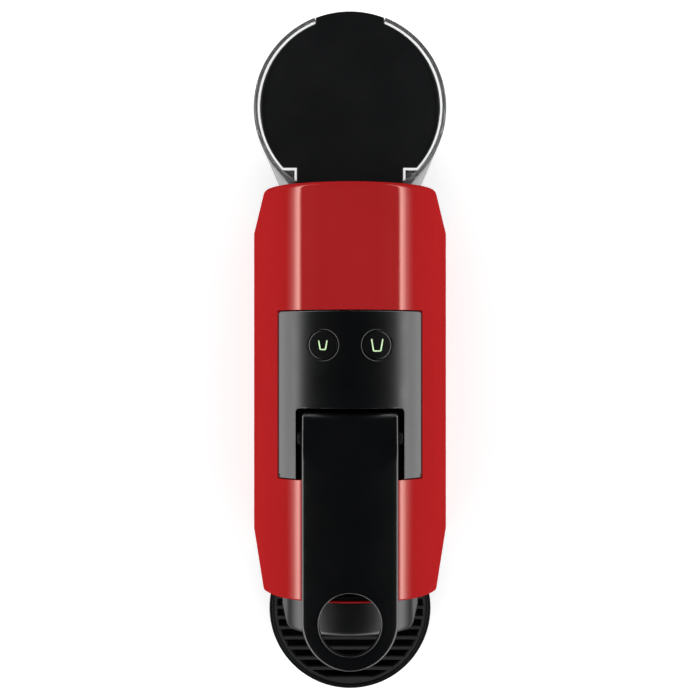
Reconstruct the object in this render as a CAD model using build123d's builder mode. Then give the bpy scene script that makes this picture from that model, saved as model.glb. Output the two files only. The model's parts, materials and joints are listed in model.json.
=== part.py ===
from build123d import *
from math import atan2, cos, degrees, radians, sin, sqrt, tan
import os

# A pod coffee machine. Millimetres. +Z up, front at -Y, origin under the middle of the whole machine.

# ---- Driving dimensions ----

# Body: an arch of constant section that runs from front to rear
BODY_FRONT_Y = -83.5
BODY_REAR_Y = 89.0
BODY_BOTTOM_Z = 2.0
CROWN_CENTRE_Z = 155.0
CROWN_R = 45.0
SHOULDER_R = 30.0
SHOULDER_START = 60.0          # degrees above horizontal, where the crown meets the shoulder
SIDE_FLARE = 6.1               # degrees, how far the sides lean out towards the base
SHELL_WALL = 2.5
FIT = 0.1                      # gap between a fixed cover and the shell round it
EDGE_R = 2.2

# Base
FOOT_H = 2.0
BASE_TOP_Z = 5.0

# Tray and tank, both round
TRAY_R = 43.5
TRAY_Y = -119.0
TRAY_RIM_Z = 46.0
TANK_R = 40.5
TANK_Y = 122.0
TANK_RIM_Z = 185.0
TANK_FRONT_Y = 90.2
TANK_BOTTOM_Z = 27.0
TANK_WALL = 2.0

# Control panel and its two buttons
PANEL_HALF_W = 30.2
PANEL_FRONT_Y = -33.5
PANEL_REAR_Y = 36.4
RECESS_HALF_W = 22.05
RECESS_REAR_Y = -4.0
RECESS_WALL = 1.5
RECESS_BOTTOM_Z = 188.6
BUTTON_X = 11.1
BUTTON_Y = 22.0
BUTTON_R = 6.1

# Lever
LEVER_HALF_W = 19.6
LEVER_TOP_Z = 205.0
LEVER_CROWN_R = 80.0
LEVER_TIP_Y = -90.1
FINGER_HOLE_R = 12.6
FINGER_HOLE_Y = -91.0
PIVOT_Y = -16.5
PIVOT_Z = 191.5
BARREL_R = 9.0
PIVOT_PIN_R = 1.9
KNEE_Y = -34.0                 # where the lever's top starts to fall towards its tail
TAIL_Y, TAIL_Z = -6.9, 198.7
TAIL_R = 12.0                  # the tail turns inside this radius
LEVER_GAP = 0.9                # between the lever's underside and the body

# Brewing linkage: crank on the lever, two links, cage that slides along Y
CRANK_R = 12.2
CRANK_START = -2.0             # degrees above the forward direction, lever closed
LEVER_TRAVEL = 76.0            # degrees
LINK_LENGTH = 50.0
CAGE_DROP = 36.5               # cage axis below the lever's pivot
CAGE_Z = PIVOT_Z - CAGE_DROP
CAGE_R = 16.8
CAGE_FRONT_Y = -72.0
CAGE_REAR_Y = -40.0
LINK_X = (17.1, 18.9)
PIN_R = 2.0
FRAME_X = (20.0, 21.7)         # side plates of the brew frame
PLATE_Y = -74.0                # face that the capsule is pressed against

LOW = (Align.CENTER, Align.CENTER, Align.MIN)

os.makedirs("parts", exist_ok=True)


# ---- Shared shapes ----

def middle(span):
    return (span[0] + span[1]) / 2


def mirrored(span):
    """The same stretch of X on the machine's other side."""
    return (-span[1], -span[0])


def block(x, y, z, mode=Mode.ADD):
    """Adds a block that fills the three given spans to the part being built."""
    with Locations((middle(x), middle(y), middle(z))):
        Box(x[1] - x[0], y[1] - y[0], z[1] - z[0], mode=mode)


def rod_x(radius, x, y, z, mode=Mode.ADD):
    with Locations((middle(x), y, z)):
        Cylinder(radius, x[1] - x[0], rotation=(0, 90, 0), mode=mode)


def rod_y(radius, x, y, z, mode=Mode.ADD):
    with Locations((x, middle(y), z)):
        Cylinder(radius, y[1] - y[0], rotation=(90, 0, 0), mode=mode)


def rod_z(radius, x, y, z, mode=Mode.ADD):
    with Locations((x, y, z[0])):
        Cylinder(radius, z[1] - z[0], align=LOW, mode=mode)


def arch(y, inset, bottom_z):
    """The body's cross-section at Y = y, a distance inside its outer face. It extrudes to the front."""
    crown_r = CROWN_R - inset
    shoulder_r = SHOULDER_R - inset
    reach = CROWN_R - SHOULDER_R
    shoulder_x = reach * cos(radians(SHOULDER_START))
    shoulder_z = CROWN_CENTRE_Z + reach * sin(radians(SHOULDER_START))
    turn = SHOULDER_START - SIDE_FLARE
    with BuildSketch(Plane.XZ.offset(-y)) as section:
        with BuildLine():
            CenterArc((0, CROWN_CENTRE_Z), crown_r, SHOULDER_START, 180 - 2 * SHOULDER_START)
            right = CenterArc((shoulder_x, shoulder_z), shoulder_r, SIDE_FLARE, turn)
            left = CenterArc((-shoulder_x, shoulder_z), shoulder_r, 180 - SHOULDER_START, turn)
            side_top = right @ 0
            foot_x = side_top.X + (side_top.Y - bottom_z) * tan(radians(SIDE_FLARE))
            Polyline(right @ 0, (foot_x, bottom_z), (-foot_x, bottom_z), left @ 1)
        make_face()
    return section.sketch


def tank_outline(inset):
    """The tank's plan, a distance inside the wall: a circle cut off flat at the front, with rounded corners."""
    with BuildSketch() as plan:
        with Locations((0, TANK_Y)):
            Circle(TANK_R - inset)
        with Locations((0, TANK_FRONT_Y + inset)):
            Rectangle(2 * TANK_R, 2 * TANK_R, align=(Align.CENTER, Align.MAX), mode=Mode.SUBTRACT)
        fillet(plan.vertices(), 6.0 - inset)
    return plan.sketch


def crank_point(lift):
    """Y and Z of the crank pin with the lever lifted by so many degrees."""
    angle = radians(CRANK_START + lift)
    return PIVOT_Y - CRANK_R * cos(angle), PIVOT_Z + CRANK_R * sin(angle)


def cage_pin_y(lift):
    """Y of the links' lower pins, which stay at the height of the cage's axis."""
    y, z = crank_point(lift)
    return y - sqrt(LINK_LENGTH ** 2 - (z - CAGE_Z) ** 2)


CRANK_Y, CRANK_Z = crank_point(0)
CAGE_PIN_Y = cage_pin_y(0)
CAGE_TRAVEL = cage_pin_y(LEVER_TRAVEL) - CAGE_PIN_Y


# ---- Body ----

with BuildPart() as outer_shell:
    extrude(arch(BODY_REAR_Y, 0, BODY_BOTTOM_Z), amount=BODY_REAR_Y - BODY_FRONT_Y)
    end_edges = outer_shell.edges().filter_by(lambda e: e.center().Z > BODY_BOTTOM_Z + 1)
    rear_edges = end_edges.group_by(Axis.Y)[-1]
    front_edges = end_edges.group_by(Axis.Y)[0]
    fillet(rear_edges + front_edges, EDGE_R)
    extrude(arch(BODY_REAR_Y + 1, SHELL_WALL, 0), amount=BODY_REAR_Y - BODY_FRONT_Y + 2, mode=Mode.SUBTRACT)
    block((-PANEL_HALF_W - FIT, PANEL_HALF_W + FIT), (PANEL_FRONT_Y - FIT, PANEL_REAR_Y + FIT), (175, 210),
          mode=Mode.SUBTRACT)
    block((-LEVER_HALF_W + 0.3, LEVER_HALF_W - 0.3), (-81.0, PANEL_FRONT_Y), (180, 210), mode=Mode.SUBTRACT)
    for side in (-1, 1):
        for screw_y in (-62.0, 70.0):
            rod_z(3.6, side * 47.0, screw_y, (BASE_TOP_Z, 16.0))
            block(sorted((side * 48.0, side * 52.8)), (screw_y - 1.2, screw_y + 1.2), (BASE_TOP_Z, 16.0))
            rod_z(1.5, side * 47.0, screw_y, (BASE_TOP_Z, 14.0), mode=Mode.SUBTRACT)
outer_shell.part.label = "outer_shell"

with BuildPart() as base_plate:
    with BuildSketch(Plane.XY.offset(FOOT_H)):
        with Locations((0, middle((BODY_FRONT_Y, 88.0)))):
            Rectangle(2 * 51.8, 88.0 - BODY_FRONT_Y)
        with Locations((0, -118.0)):
            RectangleRounded(56, 70, 12)
        with Locations((0, TANK_Y)):
            Circle(TANK_R - 2)
        with Locations((0, 100.0)):
            Rectangle(72, 30)
    extrude(amount=BASE_TOP_Z - FOOT_H)
    with Locations(Plane.XY.offset(FOOT_H) * Rotation(180, 0, 0)):
        with Locations(*[(x, y) for x in (-47, 47) for y in (62.0, -70.0)]):
            CounterBoreHole(1.7, 3.3, 1.6)
base_plate.part.label = "base_plate"

with BuildPart() as feet:
    for foot_x, foot_y in ((-42, -74), (42, -74), (-42, 78), (42, 78), (0, 150), (-18, -142), (18, -142)):
        rod_z(6.0, foot_x, foot_y, (0, FOOT_H))
feet.part.label = "feet"

with BuildPart() as base_screws:
    for screw_x in (-47.0, 47.0):
        for screw_y in (-62.0, 70.0):
            rod_z(3.1, screw_x, screw_y, (FOOT_H + 0.1, FOOT_H + 1.6))
            rod_z(1.5, screw_x, screw_y, (FOOT_H + 1.6, 13.0))
base_screws.part.label = "base_screws"

GLAND_X, GLAND_Z = 44.0, 15.0
with BuildPart() as rear_panel:
    extrude(arch(88.0, SHELL_WALL + FIT, BASE_TOP_Z), amount=3.0)
    rod_y(5.0, GLAND_X, (80, 95), GLAND_Z, mode=Mode.SUBTRACT)
    for vent in range(7):
        block((-22, 22), (80, 95), (96 + 8 * vent, 99 + 8 * vent), mode=Mode.SUBTRACT)
    block((-27, -21), (80, 95), (10, 16), mode=Mode.SUBTRACT)
rear_panel.part.label = "rear_panel"

with BuildPart() as cord_gland:
    rod_y(4.95, GLAND_X, (81.0, 91.0), GLAND_Z)
    rod_y(6.2, GLAND_X, (88.0, 89.6), GLAND_Z)
    rod_y(3.6, GLAND_X, (80.0, 92.0), GLAND_Z, mode=Mode.SUBTRACT)
cord_gland.part.label = "cord_gland"

with BuildPart() as bulkhead:
    extrude(arch(-1.0, SHELL_WALL + 0.3, BASE_TOP_Z), amount=2.5)
    block((-60, 60), (-10, 10), (139, 210), mode=Mode.SUBTRACT)
    rod_y(9.0, -26, (-10, 10), 112, mode=Mode.SUBTRACT)
bulkhead.part.label = "bulkhead"

NOSE_INSET, NOSE_FRONT_Y, NOSE_BOTTOM_Z, NOSE_WALL = 10.0, -99.2, 134.0, 2.2
BAY_HALF_W, BAY_TOP_Z = 37.2, 114.5
with BuildPart() as front_cover:
    extrude(arch(-81.0, NOSE_INSET, NOSE_BOTTOM_Z), amount=-81.0 - NOSE_FRONT_Y)
    nose_edges = front_cover.faces().sort_by(Axis.Y)[0].edges()
    fillet(nose_edges, 2.0)
    extrude(arch(-81.0, SHELL_WALL + FIT, BASE_TOP_Z), amount=2.4)
    extrude(arch(-80.0, NOSE_INSET + NOSE_WALL, NOSE_BOTTOM_Z + NOSE_WALL),
            amount=-80.0 - NOSE_FRONT_Y - NOSE_WALL, mode=Mode.SUBTRACT)
    block((-BAY_HALF_W, BAY_HALF_W), (-90, -70), (0, BAY_TOP_Z), mode=Mode.SUBTRACT)
    block((-8.4, 8.4), (-94.4, -85.6), (130, 140), mode=Mode.SUBTRACT)
front_cover.part.label = "front_cover"


# ---- Controls ----

with BuildPart() as control_panel:
    panel_length = PANEL_REAR_Y - PANEL_FRONT_Y
    extrude(arch(PANEL_REAR_Y, -0.15, 150), amount=panel_length)
    extrude(arch(PANEL_REAR_Y + 1, SHELL_WALL, 100), amount=panel_length + 2, mode=Mode.SUBTRACT)
    with BuildSketch(Plane.XY.offset(150)):
        with Locations((0, middle((PANEL_FRONT_Y, PANEL_REAR_Y)))):
            RectangleRounded(2 * PANEL_HALF_W, panel_length, 1.2)
    extrude(amount=60, mode=Mode.INTERSECT)
    web_x, web_rear_y = RECESS_HALF_W + RECESS_WALL, RECESS_REAR_Y + RECESS_WALL
    block((-web_x, web_x), (PANEL_FRONT_Y, web_rear_y), (RECESS_BOTTOM_Z, 192.5))
    block((-RECESS_HALF_W, RECESS_HALF_W), (PANEL_FRONT_Y - 1, RECESS_REAR_Y), (150, 210), mode=Mode.SUBTRACT)
    for side in (-1, 1):
        rod_z(BUTTON_R + 0.2, side * BUTTON_X, BUTTON_Y, (180, 210), mode=Mode.SUBTRACT)
    block((-RECESS_HALF_W, RECESS_HALF_W), (RECESS_REAR_Y, web_rear_y), (RECESS_BOTTOM_Z, 197))
control_panel.part.label = "control_panel"

BOARD_Z = (183.0, 184.6)
with BuildPart() as control_board:
    block((-19, 19), (4, 35), BOARD_Z)
    block((-6, 6), (8, 12), (BOARD_Z[1], BOARD_Z[1] + 4))
control_board.part.label = "control_board"

with BuildPart() as tact_switches:
    for side in (-1, 1):
        x = side * BUTTON_X
        block((x - 3, x + 3), (BUTTON_Y - 3, BUTTON_Y + 3), (BOARD_Z[1], 187.2))
        rod_z(1.6, x, BUTTON_Y, (187.2, 187.6))
tact_switches.part.label = "tact_switches"

BUTTON_INSET = 0.1


def button(name, x):
    with BuildPart() as cap:
        rod_z(BUTTON_R, x, BUTTON_Y, (191.0, 210.0))
        extrude(arch(60, BUTTON_INSET, 100), amount=100, mode=Mode.INTERSECT)
        rod_z(7.3, x, BUTTON_Y, (190.4, 192.0))
        rod_z(2.5, x, BUTTON_Y, (189.0, 190.4))
    cap.part.label = name
    return cap


def cup_icon(name, x, width, height):
    """A thin cup outline, wider at its mouth, that lies on the button's curved top."""
    stroke = 0.6
    foot = 0.32 * width
    with BuildPart() as icon:
        with BuildSketch(Plane.XY.offset(190)):
            with Locations((x, BUTTON_Y)):
                with BuildLine():
                    Polyline((x - width / 2, BUTTON_Y + height / 2), (x - foot, BUTTON_Y - height / 2),
                             (x + foot, BUTTON_Y - height / 2), (x + width / 2, BUTTON_Y + height / 2))
                    offset(amount=stroke / 2)
            make_face()
        extrude(amount=20)
        extrude(arch(60, BUTTON_INSET - 0.12, 100), amount=100, mode=Mode.INTERSECT)
        extrude(arch(60, BUTTON_INSET, 100), amount=100, mode=Mode.SUBTRACT)
    icon.part.label = name
    return icon


espresso_button = button("espresso_button", -BUTTON_X)
lungo_button = button("lungo_button", BUTTON_X)
espresso_icon = cup_icon("espresso_icon", -BUTTON_X, 3.4, 3.6)
lungo_icon = cup_icon("lungo_icon", BUTTON_X, 4.6, 4.8)


# ---- Lever and brewing unit ----

RECESS_FLOOR_Y = -33.2
with BuildPart() as lever_handle:
    with BuildSketch(Plane.XY.offset(185)):
        with Locations((0, LEVER_TIP_Y)):
            Circle(LEVER_HALF_W)
        with Locations((0, middle((LEVER_TIP_Y, PIVOT_Y + TAIL_R)))):
            Rectangle(2 * LEVER_HALF_W, PIVOT_Y + TAIL_R - LEVER_TIP_Y)
    extrude(amount=25)
    # Top: slightly crowned
    with BuildSketch(Plane.XZ):
        with Locations((0, LEVER_TOP_Z - LEVER_CROWN_R)):
            Circle(LEVER_CROWN_R)
    extrude(amount=150, mode=Mode.INTERSECT)
    # Side view: level to the knee, falling to the tail, then round the pivot
    with BuildSketch(Plane.YZ):
        with Locations((PIVOT_Y, PIVOT_Z)):
            Circle(TAIL_R)
        with BuildLine():
            Polyline((KNEE_Y, LEVER_TOP_Z), (TAIL_Y, TAIL_Z), (TAIL_Y, 220), (KNEE_Y, 220), close=True)
        make_face(mode=Mode.SUBTRACT)
        with BuildLine():
            Polyline((-120, 185), (-120, LEVER_TOP_Z), (KNEE_Y, LEVER_TOP_Z), (TAIL_Y, TAIL_Z),
                     (PIVOT_Y, PIVOT_Z), (PIVOT_Y, 185), close=True)
        make_face()
    extrude(amount=30, both=True, mode=Mode.INTERSECT)
    # Underside: clears the body's crown in front, and is flat over the recess
    extrude(arch(RECESS_FLOOR_Y, -LEVER_GAP, 100), amount=150, mode=Mode.SUBTRACT)
    block((-30, 30), (RECESS_FLOOR_Y, 10), (180, 195.5), mode=Mode.SUBTRACT)
    # Barrel, crank cheeks and stiffening ribs
    rod_x(BARREL_R, (-16.9, 16.9), PIVOT_Y, PIVOT_Z)
    for side in (-1, 1):
        cheek = sorted((side * 13.9, side * 16.9))
        rod_x(4.2, cheek, CRANK_Y, CRANK_Z)
        block(cheek, (CRANK_Y - 4.2, PIVOT_Y), (CRANK_Z, 199.0))
        block(cheek, (CRANK_Y, PIVOT_Y), (CRANK_Z - 4.2, CRANK_Z))
        block(sorted((side * 15.1, side * 16.9)), (-79.5, CRANK_Y), (194.2, 198.0))
    rod_z(FINGER_HOLE_R, 0, FINGER_HOLE_Y, (180, 210), mode=Mode.SUBTRACT)
    rod_x(PIVOT_PIN_R + 0.05, (-30, 30), PIVOT_Y, PIVOT_Z, mode=Mode.SUBTRACT)
    rod_x(PIN_R, (-30, 30), CRANK_Y, CRANK_Z, mode=Mode.SUBTRACT)
lever_handle.part.label = "lever_handle"

with BuildPart() as crank_pin:
    rod_x(PIN_R, (-LINK_X[1], LINK_X[1]), CRANK_Y, CRANK_Z)
crank_pin.part.label = "crank_pin"

with BuildPart() as lever_pivot_pin:
    rod_x(PIVOT_PIN_R, (-FRAME_X[1], FRAME_X[1]), PIVOT_Y, PIVOT_Z)
lever_pivot_pin.part.label = "lever_pivot_pin"

LINK_TILT = degrees(atan2(CRANK_Z - CAGE_Z, CRANK_Y - CAGE_PIN_Y))


def toggle_link(name, x):
    with BuildPart() as link:
        with BuildSketch(Plane.YZ.offset(x[0])):
            with Locations((CRANK_Y, CRANK_Z), (CAGE_PIN_Y, CAGE_Z)):
                Circle(3.4)
            with Locations(Location((middle((CRANK_Y, CAGE_PIN_Y)), middle((CRANK_Z, CAGE_Z))), LINK_TILT)):
                Rectangle(LINK_LENGTH, 5.2)
            with Locations((CRANK_Y, CRANK_Z)):
                Circle(PIN_R + 0.05, mode=Mode.SUBTRACT)
            with Locations((CAGE_PIN_Y, CAGE_Z)):
                Circle(PIN_R, mode=Mode.SUBTRACT)
        extrude(amount=x[1] - x[0])
    link.part.label = name
    return link


link_right = toggle_link("link_right", LINK_X)
link_left = toggle_link("link_left", mirrored(LINK_X))

SLOT_X = 15.0
with BuildPart() as link_pins:
    for x in ((SLOT_X + 0.1, LINK_X[1]), mirrored((SLOT_X + 0.1, LINK_X[1]))):
        rod_x(PIN_R, x, CAGE_PIN_Y, CAGE_Z)
link_pins.part.label = "link_pins"

CAVITY_DEPTH = 25.0
SLOT_SLACK = 3.1               # how far the links' pins run ahead of the cage halfway through the stroke
RAIL_Y = (-62.0, -6.0)
with BuildPart() as brew_cage:
    rod_y(CAGE_R, 0, (CAGE_FRONT_Y, CAGE_REAR_Y), CAGE_Z)
    rod_y(5.0, 0, (CAGE_REAR_Y, CAGE_REAR_Y + 4), CAGE_Z)
    for side in (-1, 1):
        block(sorted((side * 12.0, side * 19.6)), (-60, -42), (CAGE_Z - 11, CAGE_Z - 8))
        slot_x = sorted((side * SLOT_X, side * 20))
        block(slot_x, (CAGE_PIN_Y - SLOT_SLACK, CAGE_PIN_Y), (CAGE_Z - 2.4, CAGE_Z + 2.4), mode=Mode.SUBTRACT)
        rod_x(2.4, slot_x, CAGE_PIN_Y, CAGE_Z, mode=Mode.SUBTRACT)
        rod_x(2.4, slot_x, CAGE_PIN_Y - SLOT_SLACK, CAGE_Z, mode=Mode.SUBTRACT)
    with Locations((0, CAGE_FRONT_Y + CAVITY_DEPTH / 2, CAGE_Z)):
        Cone(11.5, 14.8, CAVITY_DEPTH, rotation=(90, 0, 0), mode=Mode.SUBTRACT)
    rod_y(1.5, 0, (-60, -30), CAGE_Z, mode=Mode.SUBTRACT)
brew_cage.part.label = "brew_cage"

with BuildPart() as cage_seal:
    rod_y(CAGE_R - 0.4, 0, (CAGE_FRONT_Y - 1.2, CAGE_FRONT_Y), CAGE_Z)
    rod_y(14.9, 0, (CAGE_FRONT_Y - 2, CAGE_FRONT_Y + 1), CAGE_Z, mode=Mode.SUBTRACT)
cage_seal.part.label = "cage_seal"

with BuildPart() as piercing_needles:
    needle_base_y = CAGE_FRONT_Y + CAVITY_DEPTH
    for turn in (90, 210, 330):
        needle_x = 7.5 * cos(radians(turn))
        needle_z = CAGE_Z + 7.5 * sin(radians(turn))
        with Locations((needle_x, needle_base_y - 2.5, needle_z)):
            Cone(1.3, 0.2, 5.0, rotation=(90, 0, 0))
piercing_needles.part.label = "piercing_needles"


def frame_side(name, x, inward):
    with BuildPart() as plate:
        block(x, (-80.5, 6.0), (139.0, 187.5))
        rod_x(3.2, x, PIVOT_Y, PIVOT_Z)
        block(x, (PIVOT_Y - 3.2, PIVOT_Y + 3.2), (187.0, PIVOT_Z))
        for ledge_z in ((CAGE_Z - 13.6, CAGE_Z - 11.3), (CAGE_Z - 7.7, CAGE_Z - 6.0)):
            block(sorted((inward * 17.7, inward * 20.5)), RAIL_Y, ledge_z)
        rod_x(PIVOT_PIN_R, sorted((inward * 15, inward * 25)), PIVOT_Y, PIVOT_Z, mode=Mode.SUBTRACT)
        cut_x = sorted((inward * 19, inward * 25))
        for window_y in (-56, -34):
            block(cut_x, (window_y - 8, window_y + 8), (162, 180), mode=Mode.SUBTRACT)
    plate.part.label = name
    return plate


frame_right = frame_side("frame_right", FRAME_X, 1)
frame_left = frame_side("frame_left", mirrored(FRAME_X), -1)

with BuildPart() as brew_head:
    block((-19.9, 19.9), (-80.5, PLATE_Y - 1.2), (139, 171))
    fillet(brew_head.edges().filter_by(Axis.Y), 4.0)
    rod_y(2.5, 0, (-90, -70), 146, mode=Mode.SUBTRACT)
brew_head.part.label = "brew_head"

with BuildPart() as extraction_plate:
    rod_y(15.5, 0, (PLATE_Y - 1.2, PLATE_Y - 0.6), CAGE_Z)
    with Locations(Plane.XZ.offset(-PLATE_Y + 0.6)):
        with Locations((0, CAGE_Z, 0)):
            with GridLocations(4.6, 4.6, 5, 5):
                Cone(0.4, 1.5, 0.6, align=(Align.CENTER, Align.CENTER, Align.MAX))
extraction_plate.part.label = "extraction_plate"

with BuildPart() as coffee_outlet:
    block((-8, 8), (-94, -86), (124, 150))
    fillet(coffee_outlet.edges().filter_by(Axis.Z), 3.0)
    block((-5, 5), (-87, -80.5), (141, 150))
    rod_z(3.0, 0, -90, (120, 147), mode=Mode.SUBTRACT)
    block((-2, 2), (-90, -80), (143.5, 146.5), mode=Mode.SUBTRACT)
coffee_outlet.part.label = "coffee_outlet"

FLANGE_Y = (-73.7, -70.0)
with BuildPart() as capsule_port:
    block((-19.9, 19.9), (-80.8, -35.5), (189.6, 192.0))
    for side in (-1, 1):
        block(sorted((side * 16.7, side * 19.9)), (-75.4, -68.6), (171.5, 190.0))
    block((-18.95, 18.95), FLANGE_Y, (150, 200), mode=Mode.SUBTRACT)
    block((-15.6, 15.6), (FLANGE_Y[0], -43.0), (185, 200), mode=Mode.SUBTRACT)
capsule_port.part.label = "capsule_port"


# ---- Water system ----

with BuildPart() as heater_bracket:
    block((-14, 14), (-3.5, 52), (139.0, 141.5))
heater_bracket.part.label = "heater_bracket"

with BuildPart() as thermoblock:
    block((-13, 13), (8, 50), (141.5, 168))
    fillet(thermoblock.edges().filter_by(Axis.Y), 4.0)
    for fin in range(5):
        block((-12, 12), (12 + 8 * fin, 14 + 8 * fin), (166, 170.5))
    rod_x(3.0, (13, 18), 45, 155)
    rod_y(3.0, 0, (3, 8), 155)
thermoblock.part.label = "thermoblock"

with BuildPart() as thermostats:
    for stat_y in (17, 33):
        with Locations((0, stat_y, 170.5)):
            Cylinder(6.5, 4.0, align=LOW)
        block((-3, 3), (stat_y - 0.4, stat_y + 0.4), (174.5, 179))
thermostats.part.label = "thermostats"

PUMP_X, PUMP_Y = 27.0, 45.0
COIL_Z = (34.0, 68.0)
with BuildPart() as pump_body:
    block((PUMP_X - 14.5, PUMP_X + 14.5), (PUMP_Y - 14.5, PUMP_Y + 14.5), COIL_Z)
    fillet(pump_body.edges().filter_by(Axis.Z), 3.0)
    rod_z(9.0, PUMP_X, PUMP_Y, (28.0, 78.0))
    rod_z(3.0, PUMP_X, PUMP_Y, (22.0, 90.0))
    rod_z(5.0, PUMP_X, PUMP_Y, (38.0, 66.0), mode=Mode.SUBTRACT)
    rod_z(1.5, PUMP_X, PUMP_Y, (20.0, 95.0), mode=Mode.SUBTRACT)
pump_body.part.label = "pump_body"

with BuildPart() as pump_plunger:
    rod_z(4.95, PUMP_X, PUMP_Y, (44.0, 60.0))
    rod_z(1.5, PUMP_X, PUMP_Y, (42.0, 62.0), mode=Mode.SUBTRACT)
pump_plunger.part.label = "pump_plunger"


def coil_spring(name, x, y, z, radius, wire, turns):
    """A round-wire compression spring that stands on z[0] and reaches z[1]."""
    rise = z[1] - z[0] - 2 * wire
    with BuildPart() as spring:
        path = Helix(pitch=rise / turns, height=rise, radius=radius, center=(x, y, z[0] + wire))
        with BuildSketch(Plane(origin=path @ 0, z_dir=path % 0)):
            Circle(wire)
        sweep(path=path, is_frenet=True)
    spring.part.label = name
    return spring


lower_plunger_spring = coil_spring("lower_plunger_spring", PUMP_X, PUMP_Y, (38.05, 43.95), 3.6, 0.4, 3)
upper_plunger_spring = coil_spring("upper_plunger_spring", PUMP_X, PUMP_Y, (60.05, 65.95), 3.6, 0.4, 3)

with BuildPart() as pump_mounts:
    for mount_z in ((24.0, 28.0), (78.0, 82.0)):
        rod_z(10.0, PUMP_X, PUMP_Y, mount_z)
        rod_z(3.0, PUMP_X, PUMP_Y, mount_z, mode=Mode.SUBTRACT)
pump_mounts.part.label = "pump_mounts"

with BuildPart() as pump_bracket:
    block((PUMP_X - 12, PUMP_X + 12), (-1.0, PUMP_Y + 12), (82.0, 84.0))
    rod_z(4.0, PUMP_X, PUMP_Y, (80, 90), mode=Mode.SUBTRACT)
    block((PUMP_X - 12, PUMP_X + 12), (PUMP_Y - 12, PUMP_Y + 12), (22.0, 24.0))
    rod_z(4.0, PUMP_X, PUMP_Y, (20, 25), mode=Mode.SUBTRACT)
    for side in (-1, 1):
        block(sorted((PUMP_X + side * 10, PUMP_X + side * 12)), (PUMP_Y - 12, PUMP_Y - 8), (BASE_TOP_Z, 23))
pump_bracket.part.label = "pump_bracket"

METER_X, METER_Y = -24.0, 45.0
with BuildPart() as flow_meter:
    rod_z(13.0, METER_X, METER_Y, (BASE_TOP_Z, 20.0))
    rod_z(10.5, METER_X, METER_Y, (8.0, 17.5), mode=Mode.SUBTRACT)
    rod_z(0.8, METER_X, METER_Y, (7.5, 18.0))
    rod_x(2.8, (METER_X + 12, METER_X + 18), METER_Y, 13)
    rod_y(2.8, METER_X, (METER_Y + 12, METER_Y + 18), 13)
    rod_x(1.2, (METER_X + 8, METER_X + 20), METER_Y, 13, mode=Mode.SUBTRACT)
    rod_y(1.2, METER_X, (METER_Y + 8, METER_Y + 20), 13, mode=Mode.SUBTRACT)
flow_meter.part.label = "flow_meter"

with BuildPart() as flow_rotor:
    rod_z(2.6, METER_X, METER_Y, (8.6, 16.8))
    with Locations((METER_X, METER_Y, 12.7)):
        with PolarLocations(0, 6):
            with Locations((5.0, 0, 0)):
                Box(7.6, 1.0, 7.0)
    rod_z(0.85, METER_X, METER_Y, (5, 20), mode=Mode.SUBTRACT)
flow_rotor.part.label = "flow_rotor"


def hose(name, points, bend):
    """A rubber hose along straight runs joined by round bends."""
    with BuildPart() as tube:
        if bend:
            with BuildLine() as route:
                FilletPolyline(*points, radius=bend)
        else:
            with BuildLine() as route:
                Line(*points)
        with BuildSketch(Plane(origin=route.line @ 0, z_dir=route.line % 0)):
            Circle(3.0)
            Circle(1.5, mode=Mode.SUBTRACT)
        sweep(path=route.line)
    tube.part.label = name
    return tube


suction_hose = hose("suction_hose", [(METER_X, METER_Y + 18, 13), (METER_X, 88.0, 13)], 0)
feed_hose = hose("feed_hose", [(METER_X + 18, METER_Y, 13), (PUMP_X, PUMP_Y, 13), (PUMP_X, PUMP_Y, 22)], 8)
pressure_hose = hose("pressure_hose", [(PUMP_X, PUMP_Y, 90), (PUMP_X, PUMP_Y, 155), (18, PUMP_Y, 155)], 8)

with BuildPart() as power_board:
    block((-38.0, -36.4), (8, 76), (28, 110))
    for part_y, part_z, size in ((22, 46, 7), (44, 46, 6), (62, 44, 5), (24, 90, 6)):
        rod_x(size, (-36.4, -36.4 + 2.6 * size), part_y, part_z)
    block((-36.4, -22.0), (40, 62), (74, 100))
power_board.part.label = "power_board"


# ---- Water tank ----

VALVE_Y = 106.0
SEAT_TOP_Z = 26.0
with BuildPart() as tank_seat:
    with BuildSketch(Plane.XY.offset(BASE_TOP_Z)):
        with Locations((0, TANK_Y)):
            Circle(TANK_R - 0.6)
        with Locations((0, 100)):
            Rectangle(72, 24)
        with Locations((0, 68)):
            Rectangle(120, 40, mode=Mode.SUBTRACT)
    extrude(amount=SEAT_TOP_Z - BASE_TOP_Z)
    rod_z(7.4, 0, VALVE_Y, (16.0, 30.0), mode=Mode.SUBTRACT)
    rod_z(1.6, 0, VALVE_Y, (15.0, 20.4))
    rod_y(2.0, METER_X, (80, VALVE_Y), 13, mode=Mode.SUBTRACT)
    rod_x(2.0, (METER_X - 2, 4), VALVE_Y, 13, mode=Mode.SUBTRACT)
    rod_z(1.5, 4.0, VALVE_Y, (13, 17), mode=Mode.SUBTRACT)
tank_seat.part.label = "tank_seat"

with BuildPart() as seat_seal:
    rod_z(7.3, 0, VALVE_Y, (20.5, 23.5))
    rod_z(5.6, 0, VALVE_Y, (20, 24), mode=Mode.SUBTRACT)
seat_seal.part.label = "seat_seal"

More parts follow.
